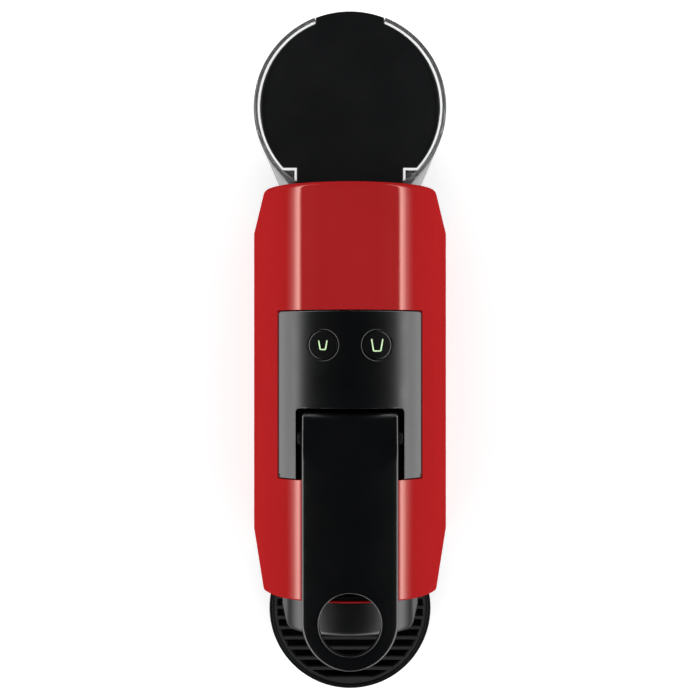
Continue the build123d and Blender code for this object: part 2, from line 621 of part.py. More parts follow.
LID_PIN_Y, LID_PIN_Z = 93.6, 182.6
LID_PIN_R = 1.0
LUG_R = 1.7
LUG_X = (14.7, 17.0)
FRONT_WALL_TOP_Z = 178.9
with BuildPart() as tank_body:
    extrude(Plane.XY.offset(TANK_BOTTOM_Z) * tank_outline(0), amount=TANK_RIM_Z - TANK_BOTTOM_Z)
    extrude(Plane.XY.offset(TANK_BOTTOM_Z + 2.2) * tank_outline(TANK_WALL), amount=200, mode=Mode.SUBTRACT)
    rod_z(5.5, 0, VALVE_Y, (18.0, TANK_BOTTOM_Z))
    rod_z(3.0, 0, VALVE_Y, (10.0, 35.0), mode=Mode.SUBTRACT)
    block((-23.0, 23.0), (80, 98), (FRONT_WALL_TOP_Z, 200), mode=Mode.SUBTRACT)
    block((-14.9, 14.9), (150, 170), (181.0, 200), mode=Mode.SUBTRACT)
    for side in (-1, 1):
        lug = sorted((side * LUG_X[0], side * LUG_X[1]))
        block(lug, (TANK_FRONT_Y + 1.8, LID_PIN_Y + LUG_R), (172, LID_PIN_Z))
        rod_x(LUG_R, lug, LID_PIN_Y, LID_PIN_Z)
    rod_x(LID_PIN_R + 0.05, (-20, 20), LID_PIN_Y, LID_PIN_Z, mode=Mode.SUBTRACT)
tank_body.part.label = "tank_body"

LID_R = 37.8
with BuildPart() as tank_lid:
    with BuildSketch(Plane.XY.offset(182.6)):
        with Locations((0, TANK_Y)):
            Circle(LID_R)
        with Locations((0, 93.7)):
            Rectangle(2 * TANK_R, 2 * TANK_R, align=(Align.CENTER, Align.MAX), mode=Mode.SUBTRACT)
        with Locations((0, 92.2)):
            Rectangle(44.5, 4.0)
        with Locations((0, 157.5)):
            Rectangle(28.8, 9.4)
        # The lifting tab's edge follows the tank's round
        with Locations((0, TANK_Y)):
            Circle(TANK_R, mode=Mode.INTERSECT)
        # Corners that would foul the tank's rim as the lid swings up
        with Locations((-26.2, 93.6), (26.2, 93.6)):
            Rectangle(7.8, 6.0, mode=Mode.SUBTRACT)
    extrude(amount=2.6)
    with BuildSketch(Plane.XY.offset(176.0)):
        with Locations((0, TANK_Y)):
            Circle(LID_R - 1.5)
            Circle(LID_R - 3.1, mode=Mode.SUBTRACT)
        with Locations((0, 100)):
            Rectangle(2 * TANK_R, 2 * TANK_R, align=(Align.CENTER, Align.MAX), mode=Mode.SUBTRACT)
    extrude(amount=6.6)
    rod_x(2.0, (-14.4, 14.4), LID_PIN_Y, LID_PIN_Z)
    for side in (-1, 1):
        block(sorted((side * 14.4, side * 17.3)), (85, LID_PIN_Y + 2.6), (170, 184.45), mode=Mode.SUBTRACT)
    rod_x(LID_PIN_R, (-17.3, 17.3), LID_PIN_Y, LID_PIN_Z, mode=Mode.SUBTRACT)
tank_lid.part.label = "tank_lid"

with BuildPart() as lid_hinge_pin:
    rod_x(LID_PIN_R, (-17.0, 17.0), LID_PIN_Y, LID_PIN_Z)
lid_hinge_pin.part.label = "lid_hinge_pin"

TANK_FLOOR_Z = TANK_BOTTOM_Z + 2.2
VALVE_HEAD_Z = (TANK_FLOOR_Z + 0.05, TANK_FLOOR_Z + 2.05)
with BuildPart() as tank_valve:
    rod_z(4.6, 0, VALVE_Y, VALVE_HEAD_Z)
    rod_z(1.2, 0, VALVE_Y, (20.6, VALVE_HEAD_Z[0]))
tank_valve.part.label = "tank_valve"

FILTER_TOP_Z = 44.0
with BuildPart() as tank_filter:
    rod_z(7.5, 0, VALVE_Y, (TANK_FLOOR_Z, FILTER_TOP_Z))
    rod_z(6.3, 0, VALVE_Y, (TANK_FLOOR_Z, FILTER_TOP_Z - 1.4), mode=Mode.SUBTRACT)
    for turn in range(4):
        with Locations(Location((0, VALVE_Y, 37), (0, 0, 45 * turn))):
            Box(20, 1.6, 8, mode=Mode.SUBTRACT)
tank_filter.part.label = "tank_filter"

SPRING_Z = (VALVE_HEAD_Z[1] + 0.05, FILTER_TOP_Z - 1.45)
valve_spring = coil_spring("valve_spring", 0, VALVE_Y, SPRING_Z, 3.4, 0.35, 4)


# ---- Drip tray and capsule container ----

ARM_Z = (5.4, 7.9)
with BuildPart() as drip_tray:
    rod_z(TRAY_R, 0, TRAY_Y, (ARM_Z[0], TRAY_RIM_Z))
    rod_z(TRAY_R - 4.0, 0, TRAY_Y, (8.0, TRAY_RIM_Z), mode=Mode.SUBTRACT)
    rod_z(TRAY_R - 1.9, 0, TRAY_Y, (TRAY_RIM_Z - 4.2, TRAY_RIM_Z), mode=Mode.SUBTRACT)
    block((-36, 36), (TRAY_Y + 30, -8), ARM_Z)
drip_tray.part.label = "drip_tray"

GRID_R = TRAY_R - 2.2
BAR_PITCH, BAR_W = 5.5, 2.1
with BuildPart() as drip_grid:
    rod_z(GRID_R, 0, TRAY_Y, (TRAY_RIM_Z - 4.2, TRAY_RIM_Z - 0.6))
    rod_z(GRID_R - 2.4, 0, TRAY_Y, (TRAY_RIM_Z - 5, TRAY_RIM_Z), mode=Mode.SUBTRACT)
    with BuildSketch(Plane.XY.offset(TRAY_RIM_Z - 4.2)):
        with Locations((0, TRAY_Y)):
            with GridLocations(0, BAR_PITCH, 1, 15):
                Rectangle(2 * GRID_R, BAR_W)
            Circle(GRID_R - 1.2, mode=Mode.INTERSECT)
    extrude(amount=3.6)
    block((-1.1, 1.1), (TRAY_Y - GRID_R + 1.2, TRAY_Y + GRID_R - 1.2), (TRAY_RIM_Z - 4.2, TRAY_RIM_Z - 2.6))
drip_grid.part.label = "drip_grid"

BIN_WALL = 2.0
BIN_FRONT_Y, BIN_REAR_Y = -80.4, -6.0
BIN_Z = (8.2, 112.5)


def bin_outline(inset):
    """The container's plan: a rectangle whose front is hollowed to go round the tray and the cup."""
    with BuildSketch() as plan:
        with Locations((0, middle((BIN_FRONT_Y, BIN_REAR_Y)))):
            RectangleRounded(73.0 - 2 * inset, BIN_REAR_Y - BIN_FRONT_Y - 2 * inset, 4.0 - inset)
        with Locations((0, TRAY_Y)):
            Circle(TRAY_R + 0.9 + inset, mode=Mode.SUBTRACT)
    return plan.sketch


with BuildPart() as capsule_container:
    extrude(Plane.XY.offset(BIN_Z[0]) * bin_outline(0), amount=BIN_Z[1] - BIN_Z[0])
    extrude(Plane.XY.offset(BIN_Z[0] + BIN_WALL) * bin_outline(BIN_WALL), amount=200, mode=Mode.SUBTRACT)
capsule_container.part.label = "capsule_container"


# ---- Files ----

export_step(outer_shell.part, "parts/outer_shell.step")
export_step(base_plate.part, "parts/base_plate.step")
export_step(feet.part, "parts/feet.step")
export_step(base_screws.part, "parts/base_screws.step")
export_step(rear_panel.part, "parts/rear_panel.step")
export_step(cord_gland.part, "parts/cord_gland.step")
export_step(bulkhead.part, "parts/bulkhead.step")
export_step(front_cover.part, "parts/front_cover.step")
export_step(control_panel.part, "parts/control_panel.step")
export_step(control_board.part, "parts/control_board.step")
export_step(tact_switches.part, "parts/tact_switches.step")
export_step(espresso_button.part, "parts/espresso_button.step")
export_step(lungo_button.part, "parts/lungo_button.step")
export_step(espresso_icon.part, "parts/espresso_icon.step")
export_step(lungo_icon.part, "parts/lungo_icon.step")
export_step(lever_handle.part, "parts/lever_handle.step")
export_step(crank_pin.part, "parts/crank_pin.step")
export_step(lever_pivot_pin.part, "parts/lever_pivot_pin.step")
export_step(link_right.part, "parts/link_right.step")
export_step(link_left.part, "parts/link_left.step")
export_step(link_pins.part, "parts/link_pins.step")
export_step(brew_cage.part, "parts/brew_cage.step")
export_step(cage_seal.part, "parts/cage_seal.step")
export_step(piercing_needles.part, "parts/piercing_needles.step")
export_step(frame_right.part, "parts/frame_right.step")
export_step(frame_left.part, "parts/frame_left.step")
export_step(brew_head.part, "parts/brew_head.step")
export_step(extraction_plate.part, "parts/extraction_plate.step")
export_step(coffee_outlet.part, "parts/coffee_outlet.step")
export_step(capsule_port.part, "parts/capsule_port.step")
export_step(heater_bracket.part, "parts/heater_bracket.step")
export_step(thermoblock.part, "parts/thermoblock.step")
export_step(thermostats.part, "parts/thermostats.step")
export_step(pump_body.part, "parts/pump_body.step")
export_step(pump_plunger.part, "parts/pump_plunger.step")
export_step(lower_plunger_spring.part, "parts/lower_plunger_spring.step")
export_step(upper_plunger_spring.part, "parts/upper_plunger_spring.step")
export_step(pump_mounts.part, "parts/pump_mounts.step")
export_step(pump_bracket.part, "parts/pump_bracket.step")
export_step(flow_meter.part, "parts/flow_meter.step")
export_step(flow_rotor.part, "parts/flow_rotor.step")
export_step(suction_hose.part, "parts/suction_hose.step")
export_step(feed_hose.part, "parts/feed_hose.step")
export_step(pressure_hose.part, "parts/pressure_hose.step")
export_step(power_board.part, "parts/power_board.step")
export_step(tank_seat.part, "parts/tank_seat.step")
export_step(seat_seal.part, "parts/seat_seal.step")
export_step(tank_body.part, "parts/tank_body.step")
export_step(tank_lid.part, "parts/tank_lid.step")
export_step(lid_hinge_pin.part, "parts/lid_hinge_pin.step")
export_step(tank_valve.part, "parts/tank_valve.step")
export_step(tank_filter.part, "parts/tank_filter.step")
export_step(valve_spring.part, "parts/valve_spring.step")
export_step(drip_tray.part, "parts/drip_tray.step")
export_step(drip_grid.part, "parts/drip_grid.step")
export_step(capsule_container.part, "parts/capsule_container.step")

print("crank pin", round(CRANK_Y, 3), round(CRANK_Z, 3), "cage pin", round(CAGE_PIN_Y, 3),
      "cage travel", round(CAGE_TRAVEL, 3))
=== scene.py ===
"""A slim pod coffee machine, seen from straight above on a pale floor.

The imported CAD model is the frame. What shows is rebuilt here as fine meshes with rounded edges, or keeps its
CAD mesh with a better material. Sizes are in millimetres until a mesh is made.
"""

import json
import math

import bmesh
import bpy
import numpy as np
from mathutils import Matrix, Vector
from mathutils.geometry import delaunay_2d_cdt


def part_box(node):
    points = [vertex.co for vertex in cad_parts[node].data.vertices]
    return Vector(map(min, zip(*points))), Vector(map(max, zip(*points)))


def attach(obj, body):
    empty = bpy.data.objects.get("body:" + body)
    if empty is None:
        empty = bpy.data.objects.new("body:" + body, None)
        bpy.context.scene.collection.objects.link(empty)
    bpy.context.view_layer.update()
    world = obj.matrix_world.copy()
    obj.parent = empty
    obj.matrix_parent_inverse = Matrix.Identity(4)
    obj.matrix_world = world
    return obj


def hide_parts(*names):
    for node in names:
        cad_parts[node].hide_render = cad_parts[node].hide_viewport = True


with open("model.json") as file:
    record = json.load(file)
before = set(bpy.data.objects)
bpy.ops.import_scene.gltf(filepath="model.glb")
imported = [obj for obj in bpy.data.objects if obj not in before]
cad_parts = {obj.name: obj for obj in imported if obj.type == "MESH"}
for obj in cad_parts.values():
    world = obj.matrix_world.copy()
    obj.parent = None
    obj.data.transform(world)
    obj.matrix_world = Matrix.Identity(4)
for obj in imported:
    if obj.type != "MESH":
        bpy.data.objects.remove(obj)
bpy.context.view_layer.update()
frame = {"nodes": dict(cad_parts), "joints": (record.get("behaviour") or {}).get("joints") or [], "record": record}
MM = 0.001


def span(node):
    """The lowest and highest corner of a CAD node, in millimetres."""
    low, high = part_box(node)
    return low / MM, high / MM


def middle_of(node):
    low, high = span(node)
    return (low + high) / 2


# ---- The machine's driving sizes ----

SHELL_LOW, SHELL_HIGH = span("outer_shell")
PANEL_LOW, PANEL_HIGH = span("control_panel")
LEVER_LOW, LEVER_HIGH = span("lever_handle")
NOSE_LOW, _ = span("front_cover")
TANK_LOW, TANK_HIGH = span("tank_body")
LID_LOW, LID_HIGH = span("tank_lid")
TRAY_LOW, TRAY_HIGH = span("drip_tray")
GRID_LOW, GRID_HIGH = span("drip_grid")
BIN_LOW, BIN_HIGH = span("capsule_container")

CROWN_R = 45.0
CROWN_CENTRE_Z = SHELL_HIGH.z - CROWN_R
SHOULDER_R = 30.0
SHOULDER_START = math.radians(60)
SHOULDER_X = (CROWN_R - SHOULDER_R) * math.cos(SHOULDER_START)
SHOULDER_Z = CROWN_CENTRE_Z + (CROWN_R - SHOULDER_R) * math.sin(SHOULDER_START)
SIDE_FLARE = math.radians(6.1)
SHELL_WALL = 2.5
EDGE_R = 2.2


# ---- Outlines ----

def on_circle(centre, radius, angle):
    """The point of a circle at an angle in radians."""
    return (centre[0] + radius * math.cos(angle), centre[1] + radius * math.sin(angle))


def arc(centre, radius, start, end, count):
    """Points on a circle from start to end, in degrees."""
    angles = [math.radians(start + (end - start) * k / count) for k in range(count + 1)]
    return [on_circle(centre, radius, angle) for angle in angles]


def circle(centre, radius, count=96):
    return arc(centre, radius, 0, 360, count)[:-1]


def line(start, end, count):
    """Points on a straight run, with both its ends."""
    return [(start[0] + (end[0] - start[0]) * k / count, start[1] + (end[1] - start[1]) * k / count)
            for k in range(count + 1)]


def mirrored(points):
    """The same points on the machine's other side, in the opposite order."""
    return [(-x, y) for x, y in reversed(points)]


def quarter(radius, steps):
    """A rounded edge as pairs of distances from its two faces, from (radius, 0) to (0, radius)."""
    angles = [math.pi / 2 * k / steps for k in range(steps + 1)]
    return [(radius * (1 - math.sin(a)), radius * (1 - math.cos(a))) for a in angles]


def rounded(corners, step=1.5):
    """A closed outline through (x, y, radius) corners, with points every step along its straight runs."""
    count = len(corners)
    arcs = []
    for i, (x, y, radius) in enumerate(corners):
        here = Vector((x, y))
        to_last = (Vector(corners[i - 1][:2]) - here).normalized()
        to_next = (Vector(corners[(i + 1) % count][:2]) - here).normalized()
        half = to_last.angle(to_next) / 2
        reach = radius / math.tan(half)
        centre = here + (to_last + to_next).normalized() * (radius / math.sin(half))
        first, last = here + to_last * reach - centre, here + to_next * reach - centre
        turns = max(3, int(radius * 3) + 3)
        begin = math.atan2(first.y, first.x)
        sweep = math.atan2(last.y, last.x) - begin
        sweep = (sweep + math.pi) % (2 * math.pi) - math.pi
        arcs.append([on_circle(centre, radius, begin + sweep * k / turns) for k in range(turns + 1)])
    outline = []
    for i, points in enumerate(arcs):
        outline.extend(points)
        start, end = Vector(points[-1]), Vector(arcs[(i + 1) % count][0])
        pieces = int((end - start).length / step)
        outline.extend(tuple(start.lerp(end, k / pieces)) for k in range(1, pieces))
    return outline


def oblong(xs, ys, front_r, rear_r, step):
    """A rectangle's outline with rounded corners, between two places along X and two along Y."""
    (x0, x1), (y0, y1) = sorted(xs), ys
    return rounded([(x0, y0, front_r), (x1, y0, front_r), (x1, y1, rear_r), (x0, y1, rear_r)], step)


def signed_area(loop):
    return sum(a[0] * b[1] - b[0] * a[1] for a, b in zip(loop, loop[1:] + loop[:1])) / 2


def inward(loop, distance):
    """The outline moved to its left by a distance."""
    least_cosine = 0.5
    moved = []
    count = len(loop)
    for i, (x, y) in enumerate(loop):
        before, after = loop[i - 1], loop[(i + 1) % count]
        first = Vector((x - before[0], y - before[1])).normalized()
        second = Vector((after[0] - x, after[1] - y)).normalized()
        along = (first + second).normalized()
        stretch = 1 / max(along.dot(first), least_cosine)
        moved.append((x - along.y * distance * stretch, y + along.x * distance * stretch))
    return moved


def arch_height(x, inset=0.0):
    """Z of the body's outer face at x, a distance inside it."""
    x = abs(x)
    if x <= (CROWN_R - inset) * math.cos(SHOULDER_START):
        return CROWN_CENTRE_Z + math.sqrt((CROWN_R - inset) ** 2 - x * x)
    return SHOULDER_Z + math.sqrt(max((SHOULDER_R - inset) ** 2 - (x - SHOULDER_X) ** 2, 0.0))


def arch_section(inset, bottom_z, splits=()):
    """The body's cross-section as (x, z) points, from the right foot over the crown to the left foot.

    splits are places along X that must have a point of their own.
    """
    side_steps, shoulder_points, crown_points = 24, 28, 16
    side_x, side_z = on_circle((SHOULDER_X, SHOULDER_Z), SHOULDER_R - inset, SIDE_FLARE)
    foot_x = side_x + (side_z - bottom_z) * math.tan(SIDE_FLARE)
    shoulder_angles = set(np.linspace(SIDE_FLARE, SHOULDER_START, shoulder_points).tolist())
    crown_angles = set(np.linspace(SHOULDER_START, math.pi / 2, crown_points).tolist())
    for x in splits:
        if x > CROWN_R * math.cos(SHOULDER_START):
            shoulder_angles.add(math.acos((x - SHOULDER_X) / SHOULDER_R))
        else:
            crown_angles.add(math.acos(x / CROWN_R))
    right = line((foot_x, bottom_z), (side_x, side_z), side_steps)[:-1]
    right += [on_circle((SHOULDER_X, SHOULDER_Z), SHOULDER_R - inset, a) for a in sorted(shoulder_angles)]
    right += [on_circle((0.0, CROWN_CENTRE_Z), CROWN_R - inset, a) for a in sorted(crown_angles)[1:-1]]
    return right + [(0.0, CROWN_CENTRE_Z + CROWN_R - inset)] + mirrored(right)


# ---- Meshes ----

def rework(mesh, change):
    """Applies a change to a mesh through bmesh."""
    work = bmesh.new()
    work.from_mesh(mesh)
    change(work)
    work.to_mesh(mesh)
    work.free()


class Skin:
    """The points and faces of one mesh, in millimetres, with the place of each point in its outline's plane."""

    def __init__(self):
        self.points = []
        self.plan = []
        self.faces = []
        self.normals = {}

    def ring(self, points, plan=None):
        """Adds points and gives their numbers."""
        start = len(self.points)
        self.points.extend(points)
        self.plan.extend(plan or [(0.0, 0.0)] * len(points))
        return list(range(start, len(self.points)))

    def bridge(self, low, high):
        """Joins two closed rings by a band of faces."""
        count = len(low)
        for i in range(count):
            j = (i + 1) % count
            self.faces.append((low[i], low[j], high[j], high[i]))

    def fill(self, rings, height, step=0.0, place=None, face_normal=None):
        """Fills the area inside rings[0] and outside the others. height lifts the points added every step."""
        clear_of_edge = 0.55 * step
        known = [i for ring in rings for i in ring]
        flat = [self.plan[i] for i in known]
        edges = []
        for ring in rings:
            start, count = len(edges), len(ring)
            edges.extend((start + k, start + (k + 1) % count) for k in range(count))
        outline = np.array(flat)
        ends = np.array(edges)
        a, b = outline[ends[:, 0]], outline[ends[:, 1]]

        def inside(points):
            px, py = points[:, 0:1], points[:, 1:2]
            crosses = (a[:, 1] > py) != (b[:, 1] > py)
            rise = np.where(b[:, 1] == a[:, 1], 1.0, b[:, 1] - a[:, 1])
            at = a[:, 0] + (py - a[:, 1]) * (b[:, 0] - a[:, 0]) / rise
            return (np.sum(crosses & (px < at), axis=1) % 2) == 1

        grid = np.zeros((0, 2))
        if step:
            low, high = outline.min(0), outline.max(0)
            xs = np.arange(low[0] + step / 2, high[0], step)
            ys = np.arange(low[1] + step / 2, high[1], step)
            grid = np.array([(x, y) for y in ys for x in xs])
            grid = grid[inside(grid)]
            near = np.array([np.min(np.hypot(outline[:, 0] - x, outline[:, 1] - y)) for x, y in grid])
            grid = grid[near > clear_of_edge]
        for x, y in grid:
            known += self.ring([place(x, y, height(x, y))], [(x, y)])
        everything = [Vector(p) for p in flat] + [Vector((x, y)) for x, y in grid]
        out, _, triangles, origin, _, _ = delaunay_2d_cdt(everything, edges, [], 0, 1e-7)
        centres = np.array([[sum(out[i].x for i in t) / 3, sum(out[i].y for i in t) / 3] for t in triangles])
        for triangle, kept in zip(triangles, inside(centres)):
            if kept:
                self.faces.append(tuple(known[origin[i][0]] for i in triangle))
        if face_normal:
            for i in known:
                self.normals[i] = face_normal(*self.plan[i])

    def build(self, name, sharp_angle=None):
        """Makes the object, with its faces turned outwards."""
        mesh = bpy.data.meshes.new(name)
        mesh.from_pydata([Vector(p) * MM for p in self.points], [], self.faces)
        rework(mesh, lambda work: bmesh.ops.recalc_face_normals(work, faces=work.faces))
        mesh.shade_smooth()
        if sharp_angle:
            mesh.set_sharp_from_angle(angle=math.radians(sharp_angle))
        if self.normals:
            normals = [v.normal.copy() for v in mesh.vertices]
            for i, normal in self.normals.items():
                normals[i] = normal
            mesh.normals_split_custom_set_from_vertices(normals)
        piece = bpy.data.objects.new(name, mesh)
        bpy.context.scene.collection.objects.link(piece)
        return piece


def level(z):
    """A flat surface at a height."""
    return lambda x, y: z


def arched(inset):
    """The surface a distance inside the body's outer face."""
    return lambda x, y: arch_height(x, inset)


def lying(x, y, z):
    """Places an outline's point on a horizontal plate."""
    return (x, y, z)


def facing(x, z, y):
    """Places an outline's point on a plate that faces along Y."""
    return (x, y, z)


def slope_normal(height):
    """The upward normal of a surface z = height(x, y)."""
    def normal(x, y):
        d = 0.01
        fall_x = (height(x + d, y) - height(x - d, y)) / (2 * d)
        fall_y = (height(x, y + d) - height(x, y - d)) / (2 * d)
        return Vector((-fall_x, -fall_y, 1.0)).normalized()
    return normal


def add_slab(skin, loops, top, bottom, top_edge=0.3, bottom_edge=0.1, step=0.0, place=lying, exact=False):
    """Adds a plate between two surfaces over an outline with holes, with rounded edges."""
    edge_steps = 4
    top_rings, bottom_rings = [], []
    for k, loop in enumerate(loops):
        if (signed_area(loop) > 0) != (k == 0):
            loop = loop[::-1]
        levels = [(inset, bottom, rise) for inset, rise in quarter(bottom_edge, edge_steps)]
        levels += [(inset, top, -drop) for drop, inset in quarter(top_edge, edge_steps)]
        rings = []
        for inset, surface, shift in levels:
            moved = inward(loop, inset)
            rings.append(skin.ring([place(x, y, surface(x, y) + shift) for x, y in moved], moved))
        for low, high in zip(rings, rings[1:]):
            skin.bridge(low, high)
        bottom_rings.append(rings[0])
        top_rings.append(rings[-1])
    skin.fill(top_rings, top, step, place, slope_normal(top) if exact else None)
    skin.fill(bottom_rings, bottom, step, place)


def add_lathe(skin, profile, centre, count):
    """Adds a round solid about an upright axis, from an open (radius, z) profile that starts and ends on it."""
    rings = []
    for radius, z in profile[1:-1]:
        around = [on_circle(centre, radius, 2 * math.pi * k / count) for k in range(count)]
        rings.append(skin.ring([(x, y, z) for x, y in around]))
    for low, high in zip(rings, rings[1:]):
        skin.bridge(low, high)
    for (_, z), ring in ((profile[0], rings[0]), (profile[-1], rings[-1])):
        hub = skin.ring([(centre[0], centre[1], z)])[0]
        for k in range(count):
            skin.faces.append((ring[k], ring[(k + 1) % count], hub))


def soft_profile(corners, radius):
    """Rounds the inner corners of an open (r, z) profile."""
    steps, most_of_side = 4, 0.45
    points = [corners[0]]
    for last, here, after in zip(corners, corners[1:], corners[2:]):
        corner = Vector(here)
        to_last, to_next = Vector(last) - corner, Vector(after) - corner
        reach = min(radius, to_last.length * most_of_side, to_next.length * most_of_side)
        start, end = corner + to_last.normalized() * reach, corner + to_next.normalized() * reach
        for k in range(steps + 1):
            t = k / steps
            points.append(tuple(start * (1 - t) ** 2 + corner * 2 * t * (1 - t) + end * t * t))
    return points + [corners[-1]]


def add_rod(skin, radius, half_length, y, z, chamfer=0.3, count=48):
    """Adds a round bar along X with softened ends."""
    end, tip = half_length, half_length - chamfer
    stations = [(-end, radius - chamfer), (-tip, radius), (tip, radius), (end, radius - chamfer)]
    rings = [skin.ring([(x, *on_circle((y, z), r, 2 * math.pi * k / count)) for k in range(count)])
             for x, r in stations]
    for a, b in zip(rings, rings[1:]):
        skin.bridge(a, b)
    skin.faces.append(tuple(rings[0]))
    skin.faces.append(tuple(rings[-1]))


def thick_grid(name, outer, inner, keep, closed=False):
    """A wall between two grids of points, with cells left out where keep says no.

    outer[j][i] is point i of section j. closed sections go all the way round, and the last of them is capped.
    """
    skin = Skin()
    rows, columns = len(outer), len(outer[0])
    out = [skin.ring(row) for row in outer]
    back = [skin.ring(row) for row in inner]
    across = columns if closed else columns - 1
    kept = {(j, i) for j in range(rows - 1) for i in range(across) if keep(j, i)}
    for j, i in kept:
        n = (i + 1) % columns
        for side in (out, back):
            skin.faces.append((side[j][i], side[j][n], side[j + 1][n], side[j + 1][i]))
        # Each neighbouring cell, and the two points that are shared with it
        borders = (((j, (i - 1) % columns), (j, i), (j + 1, i)), ((j, n), (j, n), (j + 1, n)),
                   ((j - 1, i), (j, i), (j, n)), ((j + 1, i), (j + 1, i), (j + 1, n)))
        for cell, (a, b), (c, d) in borders:
            if cell not in kept and not (closed and cell[0] == rows - 1):
                skin.faces.append((out[a][b], out[c][d], back[c][d], back[a][b]))
    if closed:
        skin.faces.append(tuple(out[-1]))
        skin.faces.append(tuple(back[-1]))

    def drop_unused(work):
        bmesh.ops.delete(work, geom=[v for v in work.verts if not v.link_faces], context="VERTS")

    piece = skin.build(name)
    rework(piece.data, drop_unused)
    return piece


def bevelled(piece, width):
    """Rounds a piece's sharp edges and keeps its flat faces flat-shaded."""
    bevel = piece.modifiers.new("bevel", "BEVEL")
    bevel.width = width * MM
    bevel.segments = 2
    bevel.limit_method = "ANGLE"
    bevel.angle_limit = math.radians(40)
    bevel.harden_normals = True
    bpy.context.view_layer.update()
    seen = piece.evaluated_get(bpy.context.evaluated_depsgraph_get())
    mesh = bpy.data.meshes.new_from_object(seen)
    piece.modifiers.clear()
    piece.data = mesh
    return piece


def softened(node, width):
    """A copy of a CAD node's mesh with its flat faces joined and its sharp edges rounded."""
    same_place, same_plane = 0.002 * MM, math.radians(0.5)
    mesh = frame["nodes"][node].data.copy()

    def join_faces(work):
        bmesh.ops.remove_doubles(work, verts=work.verts, dist=same_place)
        bmesh.ops.dissolve_limit(work, angle_limit=same_plane, verts=work.verts, edges=work.edges)

    rework(mesh, join_faces)
    mesh.materials.clear()
    mesh.shade_smooth()
    piece = bpy.data.objects.new(node + "_shape", mesh)
    bpy.context.scene.collection.objects.link(piece)
    return bevelled(piece, width)


# ---- Materials ----

NOISE_LOW, NOISE_HIGH = 0.3, 0.7


def principled(name):
    material = bpy.data.materials.new(name)
    material.use_nodes = True
    tree = material.node_tree
    return material, tree.nodes, tree.links, tree.nodes["Principled BSDF"]


def noise(nodes, links, scale, detail=3.0, stretch=None):
    """A noise texture in the object's own space, with scale in features per metre."""
    place = nodes.new("ShaderNodeTexCoord")
    texture = nodes.new("ShaderNodeTexNoise")
    texture.inputs["Scale"].default_value = scale
    texture.inputs["Detail"].default_value = detail
    source = place.outputs["Object"]
    if stretch:
        mapping = nodes.new("ShaderNodeMapping")
        mapping.inputs["Scale"].default_value = stretch
        links.new(source, mapping.inputs["Vector"])
        source = mapping.outputs["Vector"]
    links.new(source, texture.inputs["Vector"])
    return texture.outputs["Fac"]


def polish(nodes, links, shader, roughness, *pattern):
    """Gives an uneven roughness between two values, over a noise."""
    value = noise(nodes, links, *pattern)
    mapped = nodes.new("ShaderNodeMapRange")
    mapped.inputs["From Min"].default_value = NOISE_LOW
    mapped.inputs["From Max"].default_value = NOISE_HIGH
    mapped.inputs["To Min"].default_value, mapped.inputs["To Max"].default_value = roughness
    links.new(value, mapped.inputs["Value"])
    links.new(mapped.outputs["Result"], shader.inputs["Roughness"])


def tint(nodes, links, value, first, second):
    """Maps a noise to a colour between two."""
    ramp = nodes.new("ShaderNodeValToRGB")
    low, high = ramp.color_ramp.elements
    low.position, high.position = NOISE_LOW, NOISE_HIGH
    low.color, high.color = (*first, 1), (*second, 1)
    links.new(value, ramp.inputs["Fac"])
    return ramp.outputs["Color"]


def bump(nodes, links, shader, value, height):
    """Raises the surface by a height in millimetres, from a 0 to 1 value."""
    node = nodes.new("ShaderNodeBump")
    node.inputs["Strength"].default_value = 1.0
    node.inputs["Distance"].default_value = height * MM
    links.new(value, node.inputs["Height"])
    links.new(node.outputs["Normal"], shader.inputs["Normal"])


def plastic(name, colour, darker, roughness, grain, depth, ior=1.5):
    """Moulded plastic: a slow change of shade, uneven polish, and a fine grain of a size and depth in mm."""
    material, nodes, links, shader = principled(name)
    links.new(tint(nodes, links, noise(nodes, links, 25, 2), darker, colour), shader.inputs["Base Color"])
    polish(nodes, links, shader, roughness, 90, 5)
    bump(nodes, links, shader, noise(nodes, links, 1 / (grain * MM), 2), depth)
    shader.inputs["IOR"].default_value = ior
    return material


def metal(name, colour, roughness, stretch=None, scale=700, depth=0.004):
    """Bare metal with the marks of its making."""
    material, nodes, links, shader = principled(name)
    shader.inputs["Metallic"].default_value = 1.0
    darker = tuple(c * 0.8 for c in colour)
    links.new(tint(nodes, links, noise(nodes, links, 60, 4), darker, colour), shader.inputs["Base Color"])
    polish(nodes, links, shader, roughness, scale, 3, stretch)
    bump(nodes, links, shader, noise(nodes, links, scale, 3, stretch), depth)
    return material


def clear_plastic():
    """Clear polished plastic, with faint haze and flow marks."""
    material, nodes, links, shader = principled("clear_plastic")
    shader.inputs["Base Color"].default_value = (0.93, 0.94, 0.95, 1)
    shader.inputs["Transmission Weight"].default_value = 0.93
    shader.inputs["IOR"].default_value = 1.49
    polish(nodes, links, shader, (0.0, 0.06), 60, 4)
    bump(nodes, links, shader, noise(nodes, links, 40, 1, (1, 1, 0.15)), 0.02)
    return material


def key_light():
    """A backlit green sign, with a slight change of brightness."""
    material, nodes, links, shader = principled("key_light")
    green = tint(nodes, links, noise(nodes, links, 500, 1), (0.44, 0.66, 0.34), (0.60, 0.80, 0.48))
    links.new(green, shader.inputs["Base Color"])
    links.new(green, shader.inputs["Emission Color"])
    shader.inputs["Emission Strength"].default_value = 0.35
    polish(nodes, links, shader, (0.3, 0.45), 300)
    return material


